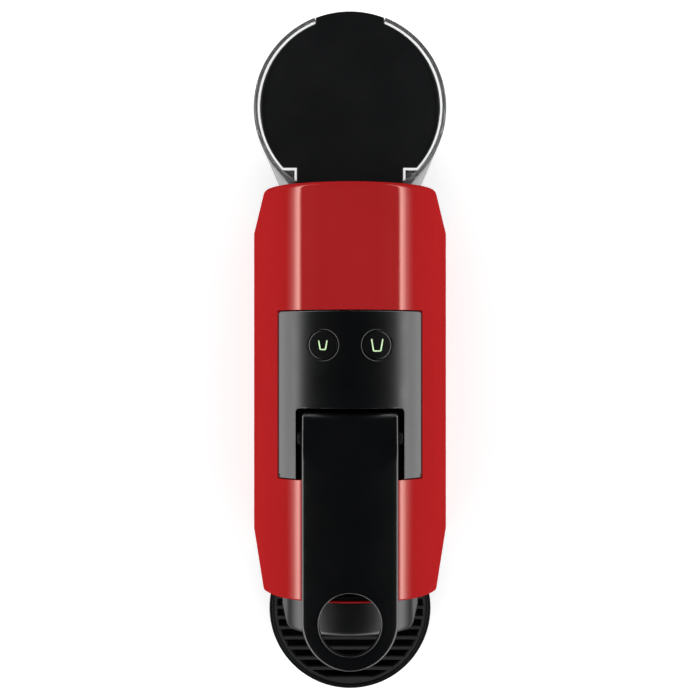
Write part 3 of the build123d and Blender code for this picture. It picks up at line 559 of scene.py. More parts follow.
def board():
    """A circuit board: green mask over copper tracks."""
    material, nodes, links, shader = principled("board_green")
    place = nodes.new("ShaderNodeTexCoord")
    bricks = nodes.new("ShaderNodeTexBrick")
    bricks.inputs["Scale"].default_value = 220
    bricks.inputs["Mortar Size"].default_value = 0.03
    bricks.inputs["Color1"].default_value = (0.008, 0.07, 0.02, 1)
    bricks.inputs["Color2"].default_value = (0.012, 0.09, 0.03, 1)
    bricks.inputs["Mortar"].default_value = (0.03, 0.2, 0.06, 1)
    links.new(place.outputs["Object"], bricks.inputs["Vector"])
    links.new(bricks.outputs["Color"], shader.inputs["Base Color"])
    bump(nodes, links, shader, bricks.outputs["Fac"], 0.02)
    polish(nodes, links, shader, (0.2, 0.35), 200)
    return material


def fill_ramp(ramp, stops):
    """Gives a colour ramp grey (position, level) stops."""
    elements = ramp.color_ramp.elements
    while len(elements) < len(stops):
        elements.new(0.5)
    for element, (position, level_there) in zip(elements, stops):
        element.position = position
        element.color = (level_there, level_there, level_there, 1)


def slant_gloss(material, *levels):
    """Sets the strength of the gloss by how slanted the surface is seen, as (angle in degrees, level) pairs."""
    nodes, links = material.node_tree.nodes, material.node_tree.links
    edge = nodes.new("ShaderNodeLayerWeight")
    edge.inputs["Blend"].default_value = 0.5
    ramp = nodes.new("ShaderNodeValToRGB")
    ramp.color_ramp.interpolation = "EASE"
    # With a blend of a half, Facing is one minus the cosine of the slant
    fill_ramp(ramp, [(1 - math.cos(math.radians(angle)), gloss) for angle, gloss in levels])
    links.new(edge.outputs["Facing"], ramp.inputs["Fac"])
    links.new(ramp.outputs["Color"], nodes["Principled BSDF"].inputs["Specular IOR Level"])
    return material


def red_gloss():
    """High gloss moulded red. Its polish gives way to the body colour where it is seen at a slant."""
    material = plastic("red_gloss", (0.392, 0.0145, 0.0160), (0.376, 0.0133, 0.0148), (0.05, 0.08),
                       grain=0.9, depth=0.0006)
    material.node_tree.nodes["Principled BSDF"].inputs["Specular Tint"].default_value = (1.0, 0.64, 0.56, 1)
    return slant_gloss(material, (32, 1.0), (43, 0.0))


def black_gloss():
    """Moulded black with a broad soft sheen, strongest at a middling slant."""
    material = plastic("black_gloss", (0.0016, 0.0019, 0.0024), (0.0012, 0.0014, 0.0018), (0.27, 0.32),
                       grain=0.7, depth=0.0005, ior=1.95)
    return slant_gloss(material, (25, 0.22), (50, 1.00), (62, 0.30), (80, 0.06))


def lid_satin():
    """The tank lid's deeper satin black."""
    material = plastic("lid_satin", (0.0034, 0.0038, 0.0044), (0.0026, 0.0029, 0.0034), (0.32, 0.38),
                       grain=0.35, depth=0.004, ior=1.7)
    return slant_gloss(material, (40, 0.5), (75, 0.05))


def nose_satin():
    """The nose's satin black, which shows grey where it curves down."""
    material = plastic("nose_satin", (0.0026, 0.0030, 0.0036), (0.0018, 0.0021, 0.0026), (0.30, 0.36),
                       grain=0.35, depth=0.004, ior=2.1)
    return slant_gloss(material, (48, 0.62), (70, 0.04))


# Colour, its darker shade, roughness, and the grain's size and depth
PLASTICS = {
    "black_satin": ((0.0032, 0.0036, 0.0044), (0.0024, 0.0027, 0.0034), (0.36, 0.44), 0.35, 0.006),
    "black_matte": ((0.012, 0.012, 0.013), (0.009, 0.009, 0.010), (0.5, 0.62), 0.5, 0.012),
    "frame_black": ((0.0022, 0.0022, 0.0024), (0.0016, 0.0016, 0.0018), (0.6, 0.7), 0.5, 0.01),
    "grid_satin": ((0.024, 0.024, 0.025), (0.019, 0.019, 0.020), (0.36, 0.44), 0.35, 0.006),
    "grey_plastic": ((0.22, 0.22, 0.23), (0.19, 0.19, 0.20), (0.42, 0.55), 0.6, 0.008),
    "white_plastic": ((0.62, 0.62, 0.60), (0.57, 0.57, 0.55), (0.35, 0.5), 0.6, 0.006),
    # Painted light: a white finish for the tank's ledge that stands in for light showing through the clear tank
    "painted_light_ledge": ((0.96, 0.96, 0.96), (0.93, 0.93, 0.93), (0.35, 0.45), 0.8, 0.002),
    "rubber_black": ((0.015, 0.015, 0.016), (0.011, 0.011, 0.012), (0.65, 0.8), 0.8, 0.02),
    "hose_silicone": ((0.55, 0.52, 0.48), (0.48, 0.45, 0.41), (0.35, 0.5), 1.0, 0.01),
}
MATERIALS = {name: plastic(name, *look) for name, look in PLASTICS.items()}
MATERIALS |= {
    "red_gloss": red_gloss(),
    "black_gloss": black_gloss(),
    "lid_satin": lid_satin(),
    "nose_satin": nose_satin(),
    "clear_plastic": clear_plastic(),
    "key_light": key_light(),
    "board_green": board(),
    "steel": metal("steel", (0.55, 0.55, 0.56), (0.18, 0.38), stretch=(1, 0.06, 1)),
    "cast_alloy": metal("cast_alloy", (0.6, 0.6, 0.61), (0.4, 0.6), scale=1500, depth=0.03),
    "blacked_steel": metal("blacked_steel", (0.008, 0.008, 0.009), (0.4, 0.5)),
}
SLOTS = {part["node"]: part["material_slot"] for part in frame["record"]["subparts"]}
BODY_OF = {node: body for body, nodes in frame["record"]["behaviour"]["bodies"].items() for node in nodes}


def fit(piece, node, finish=None):
    """Gives a piece the body and material of the CAD node that it stands for, or a finish of its own."""
    piece.data.materials.clear()
    piece.data.materials.append(MATERIALS[finish or SLOTS[node]])
    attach(piece, BODY_OF[node])
    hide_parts(node)


# ---- Body ----

def outer_shell():
    """The red arch, with its ends rolled in and its openings for the panel and the brewing unit."""
    gap, lip, row_step = 0.1, 0.9, 4.0
    panel_x, panel_y0, panel_y1 = PANEL_HIGH.x + gap, PANEL_LOW.y - gap, PANEL_HIGH.y + gap
    slot_x, slot_y0 = LEVER_HIGH.x - 0.3, SHELL_LOW.y + lip
    edge = quarter(EDGE_R, 8)
    rows = [(SHELL_LOW.y + d, inset) for inset, d in edge if d <= lip] + [(slot_y0, 0.0)]
    marks = [slot_y0, panel_y0, panel_y1, SHELL_HIGH.y - EDGE_R]
    for start, end in zip(marks, marks[1:]):
        rows += line((start, 0.0), (end, 0.0), max(1, round((end - start) / row_step)))[1:]
    rows += [(SHELL_HIGH.y - d, inset) for inset, d in reversed(edge[:-1])]
    splits = (slot_x, panel_x)
    outer, inner = [], []
    for y, inset in rows:
        outer.append([(x, y, z) for x, z in arch_section(inset, SHELL_LOW.z, splits)])
        inner.append([(x, y, z) for x, z in arch_section(SHELL_WALL, SHELL_LOW.z, splits)])
    full_width = [x for x, _ in arch_section(0, SHELL_LOW.z, splits)]

    def keep(j, i):
        y = (rows[j][0] + rows[j + 1][0]) / 2
        x = abs(full_width[i] + full_width[i + 1]) / 2
        in_panel = x < panel_x and panel_y0 < y < panel_y1
        in_slot = x < slot_x and slot_y0 < y < panel_y0
        return outer[j][i][2] < CROWN_CENTRE_Z or not (in_panel or in_slot)

    return bevelled(thick_grid("outer_shell_skin", outer, inner, keep), 0.3)


PLATE_Y0, PLATE_Y1 = SHELL_LOW.y + 0.1, SHELL_LOW.y + SHELL_WALL
NOSE_INSET, NOSE_WALL, NOSE_BOTTOM = 10.0, 2.2, 134.0


def front_nose():
    """The satin nose under the lever, open below for the coffee outlet."""
    spout_x, spout_y0, spout_y1 = 8.4, -94.4, -85.6
    rows = [(PLATE_Y1, 0.0), (PLATE_Y0, 0.0)] + line((spout_y1, 0.0), (spout_y0, 0.0), 3)
    rows += [(NOSE_LOW.y + depth, inset) for depth, inset in quarter(2.0, 6)]

    def section(inset, bottom):
        points = arch_section(inset, bottom)
        low_x = points[0][0]
        marks = [-low_x, -spout_x, 0.0, spout_x, low_x]
        floor = []
        for a, b in zip(marks, marks[1:]):
            floor += line((a, bottom), (b, bottom), 4)[1:]
        return points + floor[:-1]

    outer, inner = [], []
    for y, inset in rows:
        outer.append([(x, y, z) for x, z in section(NOSE_INSET + inset, NOSE_BOTTOM + inset)])
        back_y = max(y, NOSE_LOW.y + NOSE_WALL)
        inner.append([(x, back_y, z) for x, z in section(NOSE_INSET + NOSE_WALL, NOSE_BOTTOM + NOSE_WALL)])

    def keep(j, i):
        here, after = outer[j][i], outer[j][(i + 1) % len(outer[0])]
        y = (rows[j][0] + rows[j + 1][0]) / 2
        under = max(here[2], after[2]) < NOSE_BOTTOM + 1
        return not (under and abs(here[0] + after[0]) / 2 < spout_x and spout_y0 < y < spout_y1)

    return bevelled(thick_grid("front_cover_nose", outer, inner, keep, closed=True), 0.25)


def front_plate():
    """The plate round the container's bay, with a hole behind the nose."""
    bay_x, bay_top, foot_z, foot_width = 37.2, 114.5, 5.0, 2.0
    border = arch_section(SHELL_WALL + 0.1, foot_z)
    foot = border[0][0]
    bay = [(-bay_x, foot_z), (-bay_x, bay_top), (bay_x, bay_top), (bay_x, foot_z)]
    border.append((-foot + foot_width, foot_z))
    for a, b in zip(bay, bay[1:]):
        border += line(a, b, int(math.dist(a, b) / 3))[:-1]
    border += [bay[-1], (foot - foot_width, foot_z)]
    nose_hole = arch_section(NOSE_INSET + NOSE_WALL, NOSE_BOTTOM + NOSE_WALL)
    skin = Skin()
    add_slab(skin, [border, nose_hole], level(PLATE_Y1), level(PLATE_Y0), top_edge=0.1, bottom_edge=0.3,
             place=facing)
    return skin.build("front_cover_plate")


# ---- Controls ----

KEYS = {"espresso_button": "espresso_icon", "lungo_button": "lungo_icon"}
KEY_R = 6.1


def control_panel():
    """The curved plate with its two round holes, and the wall round the recess that the lever lies in."""
    seam, wall, wall_top = 0.35, 1.5, 193.0
    half_w, front, rear = PANEL_HIGH.x - seam, PANEL_LOW.y + seam, PANEL_HIGH.y - seam
    recess_x, recess_y = 22.05, -4.0
    wall_x, wall_y = recess_x + wall, recess_y + wall
    outline = rounded([(-half_w, front, 0.8), (-recess_x, front, 0.5), (-recess_x, recess_y, 1.8),
                       (recess_x, recess_y, 1.8), (recess_x, front, 0.5), (half_w, front, 0.8),
                       (half_w, rear, 1.2), (-half_w, rear, 1.2)], 1.0)
    holes = [circle(middle_of(node).xy, KEY_R + 0.2, 72) for node in KEYS]
    skin = Skin()
    add_slab(skin, [outline] + holes, arched(-0.15), arched(SHELL_WALL), top_edge=0.45, step=1.2, exact=True)
    u_shape = rounded([(-wall_x, front, 0.2), (-recess_x, front, 0.2), (-recess_x, recess_y, 1.6),
                       (recess_x, recess_y, 1.6), (recess_x, front, 0.2), (wall_x, front, 0.2),
                       (wall_x, wall_y, 2.5), (-wall_x, wall_y, 2.5)], 2.0)
    add_slab(skin, [u_shape], level(wall_top), level(PANEL_LOW.z), top_edge=0.1)
    return skin.build("control_panel_skin")


def key_cap(node):
    """A round key with a collar and a stem: its top follows the panel and dips slightly in the middle."""
    dip, collar, collar_low, collar_high, stem_r, stem_low, overlap = 0.22, 1.1, 190.4, 191.4, 2.5, 189.0, 0.2
    centre = middle_of(node).xy

    def top(x, y):
        near = max(0.0, 1 - ((x - centre.x) ** 2 + (y - centre.y) ** 2) / KEY_R ** 2)
        return arch_height(x, 0.1) - dip * near

    skin = Skin()
    add_slab(skin, [circle(centre, KEY_R)], top, level(collar_high - overlap), top_edge=0.7, step=0.8,
             exact=True)
    add_slab(skin, [circle(centre, KEY_R + collar, 72)], level(collar_high), level(collar_low), top_edge=0.2)
    add_slab(skin, [circle(centre, stem_r, 36)], level(collar_low + overlap), level(stem_low), top_edge=0.1)
    return skin.build(node + "_cap")


def cup_sign(node, key):
    """A cup drawn as one thin raised line, open at its top."""
    low, high = span(node)
    centre = middle_of(key)
    stroke, trim, rise = 0.5, 0.6, 0.1
    width, height = high.x - low.x - trim, high.y - low.y - trim
    foot = 0.32 * width

    def edge(out):
        right = [(foot + out, -height / 2 - out), (width / 2 + out, height / 2 + rise)]
        return mirrored(right) + right

    corners = edge(stroke / 2) + edge(-stroke / 2)[::-1]
    radii = [0.12, 0.7, 0.7, 0.12, 0.12, 0.25, 0.25, 0.12]
    outline = rounded([(centre.x + x, centre.y + y, radius) for (x, y), radius in zip(corners, radii)], 0.4)
    skin = Skin()
    add_slab(skin, [outline], arched(-0.02), arched(0.35), top_edge=0.06, bottom_edge=0.02)
    return skin.build(node + "_line")


# ---- Lever ----

HINGE = next(joint for joint in frame["joints"] if joint["name"] == "lever_hinge")
_, PIVOT_Y, PIVOT_Z = (place / MM for place in HINGE["pos_m"])
LEVER_CROWN_R = 80.0
FINGER_HOLE_R = 12.6
FINGER_HOLE_Y = -91.0
KNEE_Y = -34.0
KNEE_SOFT = 0.06
TAIL_Y, TAIL_Z = -6.9, 198.7
TAIL_END_Y = -5.3
TAIL_R = 12.0
TAIL_CORNER = 1.6


def lever_top(x, y):
    """Slightly crowned, level to the knee, then falling to its tail and round the pivot."""
    if y > TAIL_Y:
        return PIVOT_Z + math.sqrt(max(TAIL_R ** 2 - (y - PIVOT_Y) ** 2, 0.0))
    crown = LEVER_HIGH.z - LEVER_CROWN_R + math.sqrt(LEVER_CROWN_R ** 2 - x * x)
    if y <= KNEE_Y:
        return crown
    along = (y - KNEE_Y) / (TAIL_Y - KNEE_Y)
    bent = along - KNEE_SOFT if along > 2 * KNEE_SOFT else along ** 2 / (4 * KNEE_SOFT)
    return min(crown, LEVER_HIGH.z + (TAIL_Z - LEVER_HIGH.z) * bent)


def lever_under(x, y):
    """Clears the shell's crown in front and is flat over the recess behind."""
    return arch_height(x, -0.9) if y < PANEL_LOW.y + 0.4 else 195.5


def lever_arm():
    """The long arm, with the finger hole in its round tip."""
    half_w = LEVER_HIGH.x
    tip_y, corner_x, corner_y = LEVER_LOW.y + half_w, half_w - TAIL_CORNER, TAIL_END_Y - TAIL_CORNER
    right = line((half_w, tip_y), (half_w, corner_y), 70)[1:]
    right += arc((corner_x, corner_y), TAIL_CORNER, 0, 90, 8)[1:]
    right += line((corner_x, TAIL_END_Y), (0.0, TAIL_END_Y), 14)[1:]
    outline = arc((0, tip_y), half_w, 180, 360, 96) + right + mirrored(right[:-1])
    hole = circle((0, FINGER_HOLE_Y), FINGER_HOLE_R)
    skin = Skin()
    add_slab(skin, [outline, hole], lever_top, lever_under, top_edge=0.9, bottom_edge=0.4, step=1.3)
    return skin.build("lever_arm")


def lever_core():
    """The barrel round the pivot, two rails along the arm and two cheeks down to the crank pin."""
    core_x, core_top, barrel_r, cheek_x, cheek_round = 16.9, 198.0, 9.0, 13.9, 3.2
    rail_x, rail_front, rail_low = 15.1, -79.5, 194.2
    _, crank_y, crank_z = middle_of("crank_pin")
    skin = Skin()
    add_rod(skin, barrel_r, core_x, PIVOT_Y, PIVOT_Z, 0.8, 64)
    for sign in (-1, 1):
        rail = oblong((sign * rail_x, sign * core_x), (rail_front, crank_y), 0.8, 0.5, 4)
        add_slab(skin, [rail], level(core_top), level(rail_low), top_edge=0.1, bottom_edge=0.4)
        cheek = oblong((sign * cheek_x, sign * core_x), (crank_y - 4, PIVOT_Y), 0.8, 0.8, 3)
        add_slab(skin, [cheek], level(core_top), level(crank_z - cheek_round), top_edge=0.1, bottom_edge=0.5)
    return skin.build("lever_core")


# ---- Tank ----

TANK_CENTRE = (0.0, 122.0)
TANK_R = 40.5
TANK_WALL = 2.0
TANK_CORNER = 6.0
CORNER_Y = TANK_LOW.y + TANK_CORNER
CORNER_X = math.sqrt((TANK_R - TANK_CORNER) ** 2 - (TANK_CENTRE[1] - CORNER_Y) ** 2)
REAR_NOTCH_X = 14.9
VALVE_Y = 106.0


def tank_loop(inset):
    """The tank's plan as matching points for every inset, and for each point which notch it is in."""
    turn = math.degrees(math.atan2(CORNER_Y - TANK_CENTRE[1], CORNER_X))
    notch = 90 - math.degrees(math.asin(REAR_NOTCH_X / TANK_R))
    points = [((x, TANK_LOW.y + inset), "front") for x in np.linspace(0, CORNER_X - 0.08, 12)]
    points += [(p, "rim") for p in arc((CORNER_X, CORNER_Y), TANK_CORNER - inset, -90, turn, 10)]
    for angle in [*np.linspace(turn, notch - 0.05, 70)[1:], *np.linspace(notch + 0.05, 90, 14)]:
        p = on_circle(TANK_CENTRE, TANK_R - inset, math.radians(angle))
        points.append((p, "rear" if angle > notch else "rim"))
    return points + [((-x, y), zone) for (x, y), zone in reversed(points[1:-1])]


def tank():
    """The clear tank: walls notched for the hinge and the lid's tab, floor, outlet and hinge posts."""
    rim_z = {"front": 178.9, "rear": 181.0, "rim": TANK_HIGH.z}
    bottom_z, floor_z, wall_low, wall_high = 27.0, 29.2, 32.0, 172.0
    floor_r, rim_r = 1.5, 0.5
    outlet_r, outlet_low, bore_r = 5.5, 18.0, 3.0
    skin = Skin()

    def ring(inset, drop=0.0, z=None):
        loop = tank_loop(inset)
        points = [(x, y, rim_z[zone] - drop if z is None else z) for (x, y), zone in loop]
        return skin.ring(points, [p for p, _ in loop])

    def round_ring(radius, z):
        points = circle((0, VALVE_Y), radius, 48)
        return skin.ring([(x, y, z) for x, y in points], points)

    rings = [ring(inset, z=bottom_z + rise) for inset, rise in quarter(floor_r, 5)]
    rings += [ring(0.0, z=z) for z in np.linspace(wall_low, wall_high, 9)]
    rings += [ring(inset, drop=drop) for drop, inset in quarter(rim_r, 4)]
    rings += [ring(TANK_WALL - inset, drop=drop) for inset, drop in quarter(rim_r, 4)]
    rings += [ring(TANK_WALL, z=z) for z in np.linspace(wall_high, floor_z + 3, 9)]
    rings += [ring(TANK_WALL + inset, z=floor_z + rise) for rise, inset in quarter(floor_r, 5)]
    outlet = [round_ring(radius, z) for radius, z in (
        (outlet_r, bottom_z), (outlet_r, outlet_low + 0.5), (outlet_r - 0.5, outlet_low),
        (bore_r, outlet_low), (bore_r, floor_z))]
    for loops in (rings, outlet):
        for low, high in zip(loops, loops[1:]):
            skin.bridge(low, high)
    skin.fill([rings[0], outlet[0]], level(bottom_z))
    skin.fill([rings[-1], outlet[-1]], level(floor_z))
    for sign in (-1, 1):
        post = oblong((sign * 14.7, sign * 17.0), (91.9, 95.3), 0.6, 0.6, 1)
        add_slab(skin, [post], level(184.2), level(wall_high), top_edge=0.5, bottom_edge=0.5)
    return skin.build("tank_body_shell", sharp_angle=50)


LID_CENTRE = TANK_CENTRE
LID_R = LID_HIGH.x
LID_TAB_X = 22.25
LID_REAR_TAB_X = 14.4
LID_FLAT_Y = 96.6
HINGE_Y, HINGE_Z = 93.6, 182.6


def lid_loop():
    """The lid's plan: a disc with a tab on the hinge and a tab to lift it by."""
    soft, start_x, ease = 0.5, 0.1, 0.3
    front = line((start_x, LID_LOW.y), (LID_TAB_X, LID_LOW.y), 20)[:-1]
    front += arc((LID_TAB_X - soft, LID_LOW.y + soft), soft, -90, 0, 4)
    front += [(LID_TAB_X, LID_LOW.y + step) for step in (1.5, 3.0, 4.5)] + [(LID_TAB_X, LID_FLAT_Y - ease)]
    front += [(LID_TAB_X + step, LID_FLAT_Y) for step in (ease, 1.5, 3.0)]
    turn = math.degrees(math.asin((LID_FLAT_Y - LID_CENTRE[1]) / LID_R))
    rear = math.degrees(math.acos(LID_REAR_TAB_X / LID_R))
    disc = arc(LID_CENTRE, LID_R, turn, rear, 60)
    tab_r = LID_HIGH.y - LID_CENTRE[1]
    lean = math.degrees(math.acos((LID_REAR_TAB_X - soft) / (tab_r - soft)))
    tab_corner = on_circle(LID_CENTRE, tab_r - soft, math.radians(lean))
    tab = [(LID_REAR_TAB_X, disc[-1][1] + 0.7)] + arc(tab_corner, soft, 0, lean, 4)
    tab += arc(LID_CENTRE, tab_r, lean, 89.8, 14)[1:]
    right = front + disc + tab
    return right + mirrored(right)


def tank_ledge():
    """The white step inside the tank's rim, which the lid lies in with a narrow gap. Its white is painted light,
    standing in for the light that shows through the clear tank in the gap.
    """
    def edge(gap):
        turn = math.degrees(math.asin((LID_FLAT_Y - gap - LID_CENTRE[1]) / (LID_R + gap)))
        rear = math.degrees(math.acos((LID_REAR_TAB_X + 0.15) / (LID_R + gap)))
        tab_side = line((LID_TAB_X + gap, LID_LOW.y + 1), (LID_TAB_X + gap, LID_FLAT_Y - gap), 1)
        return tab_side + arc(LID_CENTRE, LID_R + gap, turn, rear, 80)

    strip = edge(0.12) + edge(1.05)[::-1]
    skin = Skin()
    top, bottom = level(TANK_HIGH.z - 0.1), level(TANK_HIGH.z - 1.6)
    for loop in (strip, [(-x, y) for x, y in strip]):
        add_slab(skin, [loop], top, bottom, top_edge=0.05, bottom_edge=0.05)
    return skin.build("tank_body_ledge")


def lid():
    """The round lid, with a shallow crown across it, its skirt and its hinge barrel."""
    side_drop, skirt_y, skirt_inset, skirt_wall, barrel_r = 1.9, 100.0, 1.5, 1.6, 1.9

    def top(x, y):
        return LID_HIGH.z - side_drop * (abs(x) / LID_R) ** 3

    def under(x, y):
        return HINGE_Z if y > LID_FLAT_Y - 0.2 else HINGE_Z + 1.2

    skin = Skin()
    add_slab(skin, [lid_loop()], top, under, top_edge=0.35, bottom_edge=0.2, step=1.5, exact=True)
    skirt_r = LID_R - skirt_inset
    reach = math.degrees(math.asin((skirt_y - LID_CENTRE[1]) / skirt_r))
    skirt = arc(LID_CENTRE, skirt_r, reach, 180 - reach, 110)
    skirt += arc(LID_CENTRE, skirt_r - skirt_wall, 180 - reach, reach, 110)
    add_slab(skin, [skirt], level(HINGE_Z + 0.5), level(LID_LOW.z), top_edge=0.1, bottom_edge=0.2)
    add_rod(skin, barrel_r, LID_REAR_TAB_X, HINGE_Y, HINGE_Z)
    return skin.build("tank_lid_cover")


# ---- Drip tray and container ----

TRAY_CENTRE = (0.0, -119.0)
TRAY_R = TRAY_HIGH.x


def drip_tray():
    """The round bowl with a step for the grid, and the arm that runs back under the container."""
    chamfer, rim, step_depth, wall, floor = 1.5, 1.9, 4.2, 4.0, 2.6
    low, high = TRAY_LOW.z, TRAY_HIGH.z
    profile = [(0, low), (TRAY_R - chamfer, low), (TRAY_R, low + chamfer), (TRAY_R, high),
               (TRAY_R - rim, high), (TRAY_R - rim, high - step_depth),
               (TRAY_R - wall, high - step_depth), (TRAY_R - wall, low + floor), (0, low + floor)]
    skin = Skin()
    add_lathe(skin, soft_profile(profile, 0.5), TRAY_CENTRE, 160)
    arm = oblong((-36, 36), (-92, -8), 2, 4, 4)
    add_slab(skin, [arm], level(low + 2.5), level(low), top_edge=0.4, bottom_edge=0.4)
    return skin.build("drip_tray_bowl")


def slot_outline(rim, y0, y1):
    """A slot across the grid between two distances from its middle, whose ends follow the rim."""
    side_steps, run_step = 8, 2
    middle = TRAY_CENTRE[1]
    right = [(math.sqrt(rim ** 2 - y * y), middle + y) for _, y in line((0, y0), (0, y1), side_steps)]
    low_x, high_x = right[0][0], right[-1][0]
    low = line((-low_x, middle + y0), (low_x, middle + y0), int(low_x / run_step) + 2)[1:-1]
    high = line((high_x, middle + y1), (-high_x, middle + y1), int(high_x / run_step) + 2)[1:-1]
    return low + right + high + mirrored(right)


def drip_grid():
    """A disc with long slots across it."""
    radius, rim_width, pitch, bar, count = GRID_HIGH.x, 1.6, 5.5, 1.7, 8
    rim = radius - rim_width
    starts = [k * pitch + bar / 2 for k in range(-count, count)]
    slots = [slot_outline(rim, y, y + pitch - bar) for y in starts if max(-y, y + pitch - bar) < rim - 1]
    skin = Skin()
    add_slab(skin, [circle(TRAY_CENTRE, radius, 160)] + slots, level(GRID_HIGH.z), level(GRID_LOW.z))
    return skin.build("drip_grid_disc")


def bin_loop(inset):
    """The container's plan, whose front is hollowed to go round the tray and the cup."""
    soft, corner = 0.6, 4.0 - inset
    side = BIN_HIGH.x - inset
    hollow = TRAY_R + 0.9 + inset
    front, rear = BIN_LOW.y + inset, BIN_HIGH.y - inset
    start = math.degrees(math.asin((front - TRAY_CENTRE[1]) / hollow))
    right = arc(TRAY_CENTRE, hollow, 90, start, 30)[1:]
    right += line((right[-1][0], front), (side, front), 3)[1:-1]
    right += arc((side - soft, front + soft), soft, -90, 0, 4)
    right += line((side, front + soft), (side, rear - corner), 20)[1:-1]
    right += arc((side - corner, rear - corner), corner, 0, 90, 8)
    right += line((side - corner, rear), (0.0, rear), 10)[1:-1]
    return [(0.0, TRAY_CENTRE[1] + hollow)] + right + [(0.0, rear)] + mirrored(right)


def capsule_container():
    """The open bin for used capsules, with a softened rim."""
    low, high, wall = BIN_LOW.z, BIN_HIGH.z, 2.0
    rows = [low + 40, low + 80]
    stations = [(0.6, low), (0.15, low + 0.15), (0.0, low + 0.6)] + [(0.0, z) for z in rows]
    stations += [(0.0, high - 0.5), (0.15, high - 0.15), (0.5, high)]
    stations += [(wall - 0.5, high), (wall - 0.15, high - 0.15), (wall, high - 0.5)]
    stations += [(wall, z) for z in reversed(rows)] + [(wall, low + wall + 0.6), (wall + 0.5, low + wall)]
    skin = Skin()
    rings = []
    for inset, z in stations:
        loop = bin_loop(inset)
        rings.append(skin.ring([(x, y, z) for x, y in loop], loop))
    for a, b in zip(rings, rings[1:]):
        skin.bridge(a, b)
    skin.fill([rings[0]], level(low))
    skin.fill([rings[-1]], level(low + wall))
    return skin.build("capsule_container_wall", sharp_angle=60)


# ---- Assembly ----

# CAD nodes shown as softened copies of themselves, with the width of their rounded edges
EDGE_WIDTHS = {"base_plate": 0.4, "feet": 0.5, "rear_panel": 0.3, "cord_gland": 0.3, "tank_seat": 0.4,
               "coffee_outlet": 0.4, "capsule_port": 0.2, "frame_right": 0.2, "frame_left": 0.2,
               "link_right": 0.25, "link_left": 0.25, "brew_cage": 0.3, "brew_head": 0.3}

fit(outer_shell(), "outer_shell")
fit(front_nose(), "front_cover", "nose_satin")
fit(front_plate(), "front_cover")
fit(control_panel(), "control_panel")
for key, sign in KEYS.items():
    fit(key_cap(key), key)
    fit(cup_sign(sign, key), sign)
fit(lever_arm(), "lever_handle")
fit(lever_core(), "lever_handle")
fit(tank(), "tank_body")
# The ledge's white is painted light, standing in for light that shows through the clear tank round the lid
fit(tank_ledge(), "tank_body", "painted_light_ledge")
fit(lid(), "tank_lid", "lid_satin")
fit(drip_tray(), "drip_tray")
fit(drip_grid(), "drip_grid", "grid_satin")
fit(capsule_container(), "capsule_container")
for node, width in EDGE_WIDTHS.items():
    fit(softened(node, width), node, "frame_black" if node.startswith("frame_") else None)

for node, part in frame["nodes"].items():
    for slot in part.material_slots:
        slot.material = MATERIALS["blacked_steel" if node == "lever_pivot_pin" else SLOTS[node]]
    part.data.shade_smooth()


# ---- Floor, light and camera ----

def make_floor():
    mesh = bpy.data.meshes.new("floor")
    size = 6.0
    corners = [(-size, -size, 0), (size, -size, 0), (size, size, 0), (-size, size, 0)]
    mesh.from_pydata(corners, [], [(0, 1, 2, 3)])
    floor = bpy.data.objects.new("floor", mesh)
    bpy.context.scene.collection.objects.link(floor)
    material, nodes, links, shader = principled("floor")
    links.new(tint(nodes, links, noise(nodes, links, 3), (0.94, 0.94, 0.94), (0.95, 0.95, 0.95)),
              shader.inputs["Base Color"])
    shader.inputs["Roughness"].default_value = 0.9
    shader.inputs["Specular IOR Level"].default_value = 0.1
    shader.inputs["Emission Color"].default_value = (1, 1, 1, 1)
    shader.inputs["Emission Strength"].default_value = 0.40
    mesh.materials.append(material)
    floor.visible_glossy = False


def math_node(nodes, operation):
    node = nodes.new("ShaderNodeMath")
    node.operation = operation
    return node


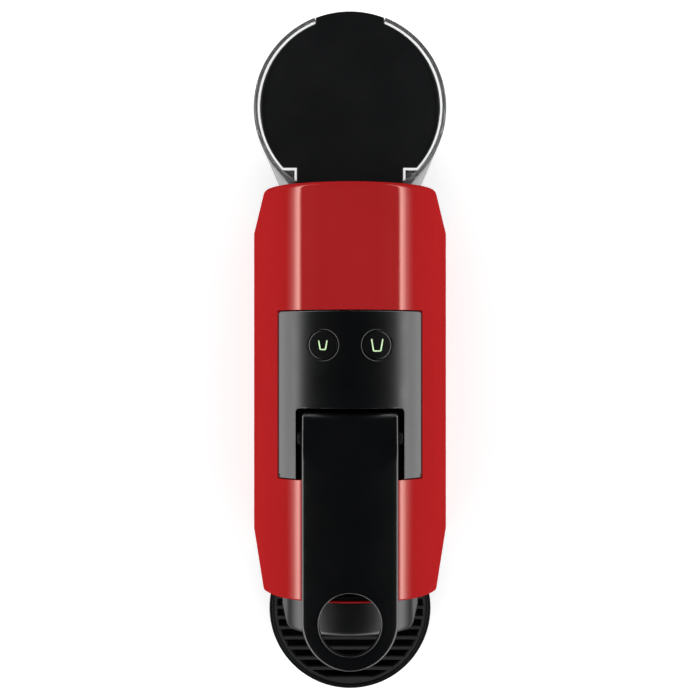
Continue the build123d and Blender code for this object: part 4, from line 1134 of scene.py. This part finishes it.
def make_world():
    """Long soft boxes low on both sides, as seen in the gloss, under a dark ceiling."""
    world = bpy.data.worlds.new("studio")
    bpy.context.scene.world = world
    world.use_nodes = True
    nodes, links = world.node_tree.nodes, world.node_tree.links
    place = nodes.new("ShaderNodeTexCoord")
    split = nodes.new("ShaderNodeSeparateXYZ")
    links.new(place.outputs["Generated"], split.inputs["Vector"])
    side = math_node(nodes, "ABSOLUTE")
    links.new(split.outputs["X"], side.inputs[0])
    angle = math_node(nodes, "ARCTAN2")
    links.new(side.outputs[0], angle.inputs[0])
    links.new(split.outputs["Z"], angle.inputs[1])
    scale = math_node(nodes, "DIVIDE")
    scale.inputs[1].default_value = math.pi
    links.new(angle.outputs[0], scale.inputs[0])
    # Brightness by degrees from straight up, the same on both sides
    stops = ((0, 0.002), (30, 0.004), (45, 0.010), (56, 0.012), (58.5, 1.0), (61, 0.72), (66, 0.30), (74, 0.15),
             (104, 0.15), (120, 0.07), (180, 0.07))
    ramp = nodes.new("ShaderNodeValToRGB")
    fill_ramp(ramp, [(degrees / 180, brightness) for degrees, brightness in stops])
    links.new(scale.outputs[0], ramp.inputs["Fac"])
    boxes = nodes.new("ShaderNodeBackground")
    boxes.inputs["Strength"].default_value = 7.0
    links.new(ramp.outputs["Color"], boxes.inputs["Color"])
    backdrop = nodes.new("ShaderNodeBackground")
    backdrop.inputs["Color"].default_value = (0.93, 0.93, 0.93, 1)
    path = nodes.new("ShaderNodeLightPath")
    mix = nodes.new("ShaderNodeMixShader")
    links.new(path.outputs["Is Camera Ray"], mix.inputs["Fac"])
    links.new(boxes.outputs[0], mix.inputs[1])
    links.new(backdrop.outputs[0], mix.inputs[2])
    links.new(mix.outputs[0], nodes["World Output"].inputs["Surface"])


def overhead_light():
    """A large soft light straight above, which the gloss doesn't show. Distances are in metres."""
    light = bpy.data.lights.new("overhead", "AREA")
    light.shape = "RECTANGLE"
    light.size = light.size_y = 1.8
    light.energy = 26.0
    lamp = bpy.data.objects.new("overhead", light)
    lamp.location = (0, 0, 2.2)
    lamp.visible_camera = False
    lamp.visible_glossy = False
    bpy.context.scene.collection.objects.link(lamp)


def make_camera():
    """Looks straight down. Distances are in metres."""
    camera = bpy.data.cameras.new("camera")
    camera.sensor_width = 36.0
    camera.lens = 59.66
    camera.clip_start = 0.01
    camera.clip_end = 50
    view = bpy.data.objects.new("camera", camera)
    view.location = (0.0, 0.020, 0.672)
    bpy.context.scene.collection.objects.link(view)
    bpy.context.scene.camera = view


make_floor()
make_world()
overhead_light()
make_camera()
bpy.context.scene.view_settings.view_transform = "Standard"
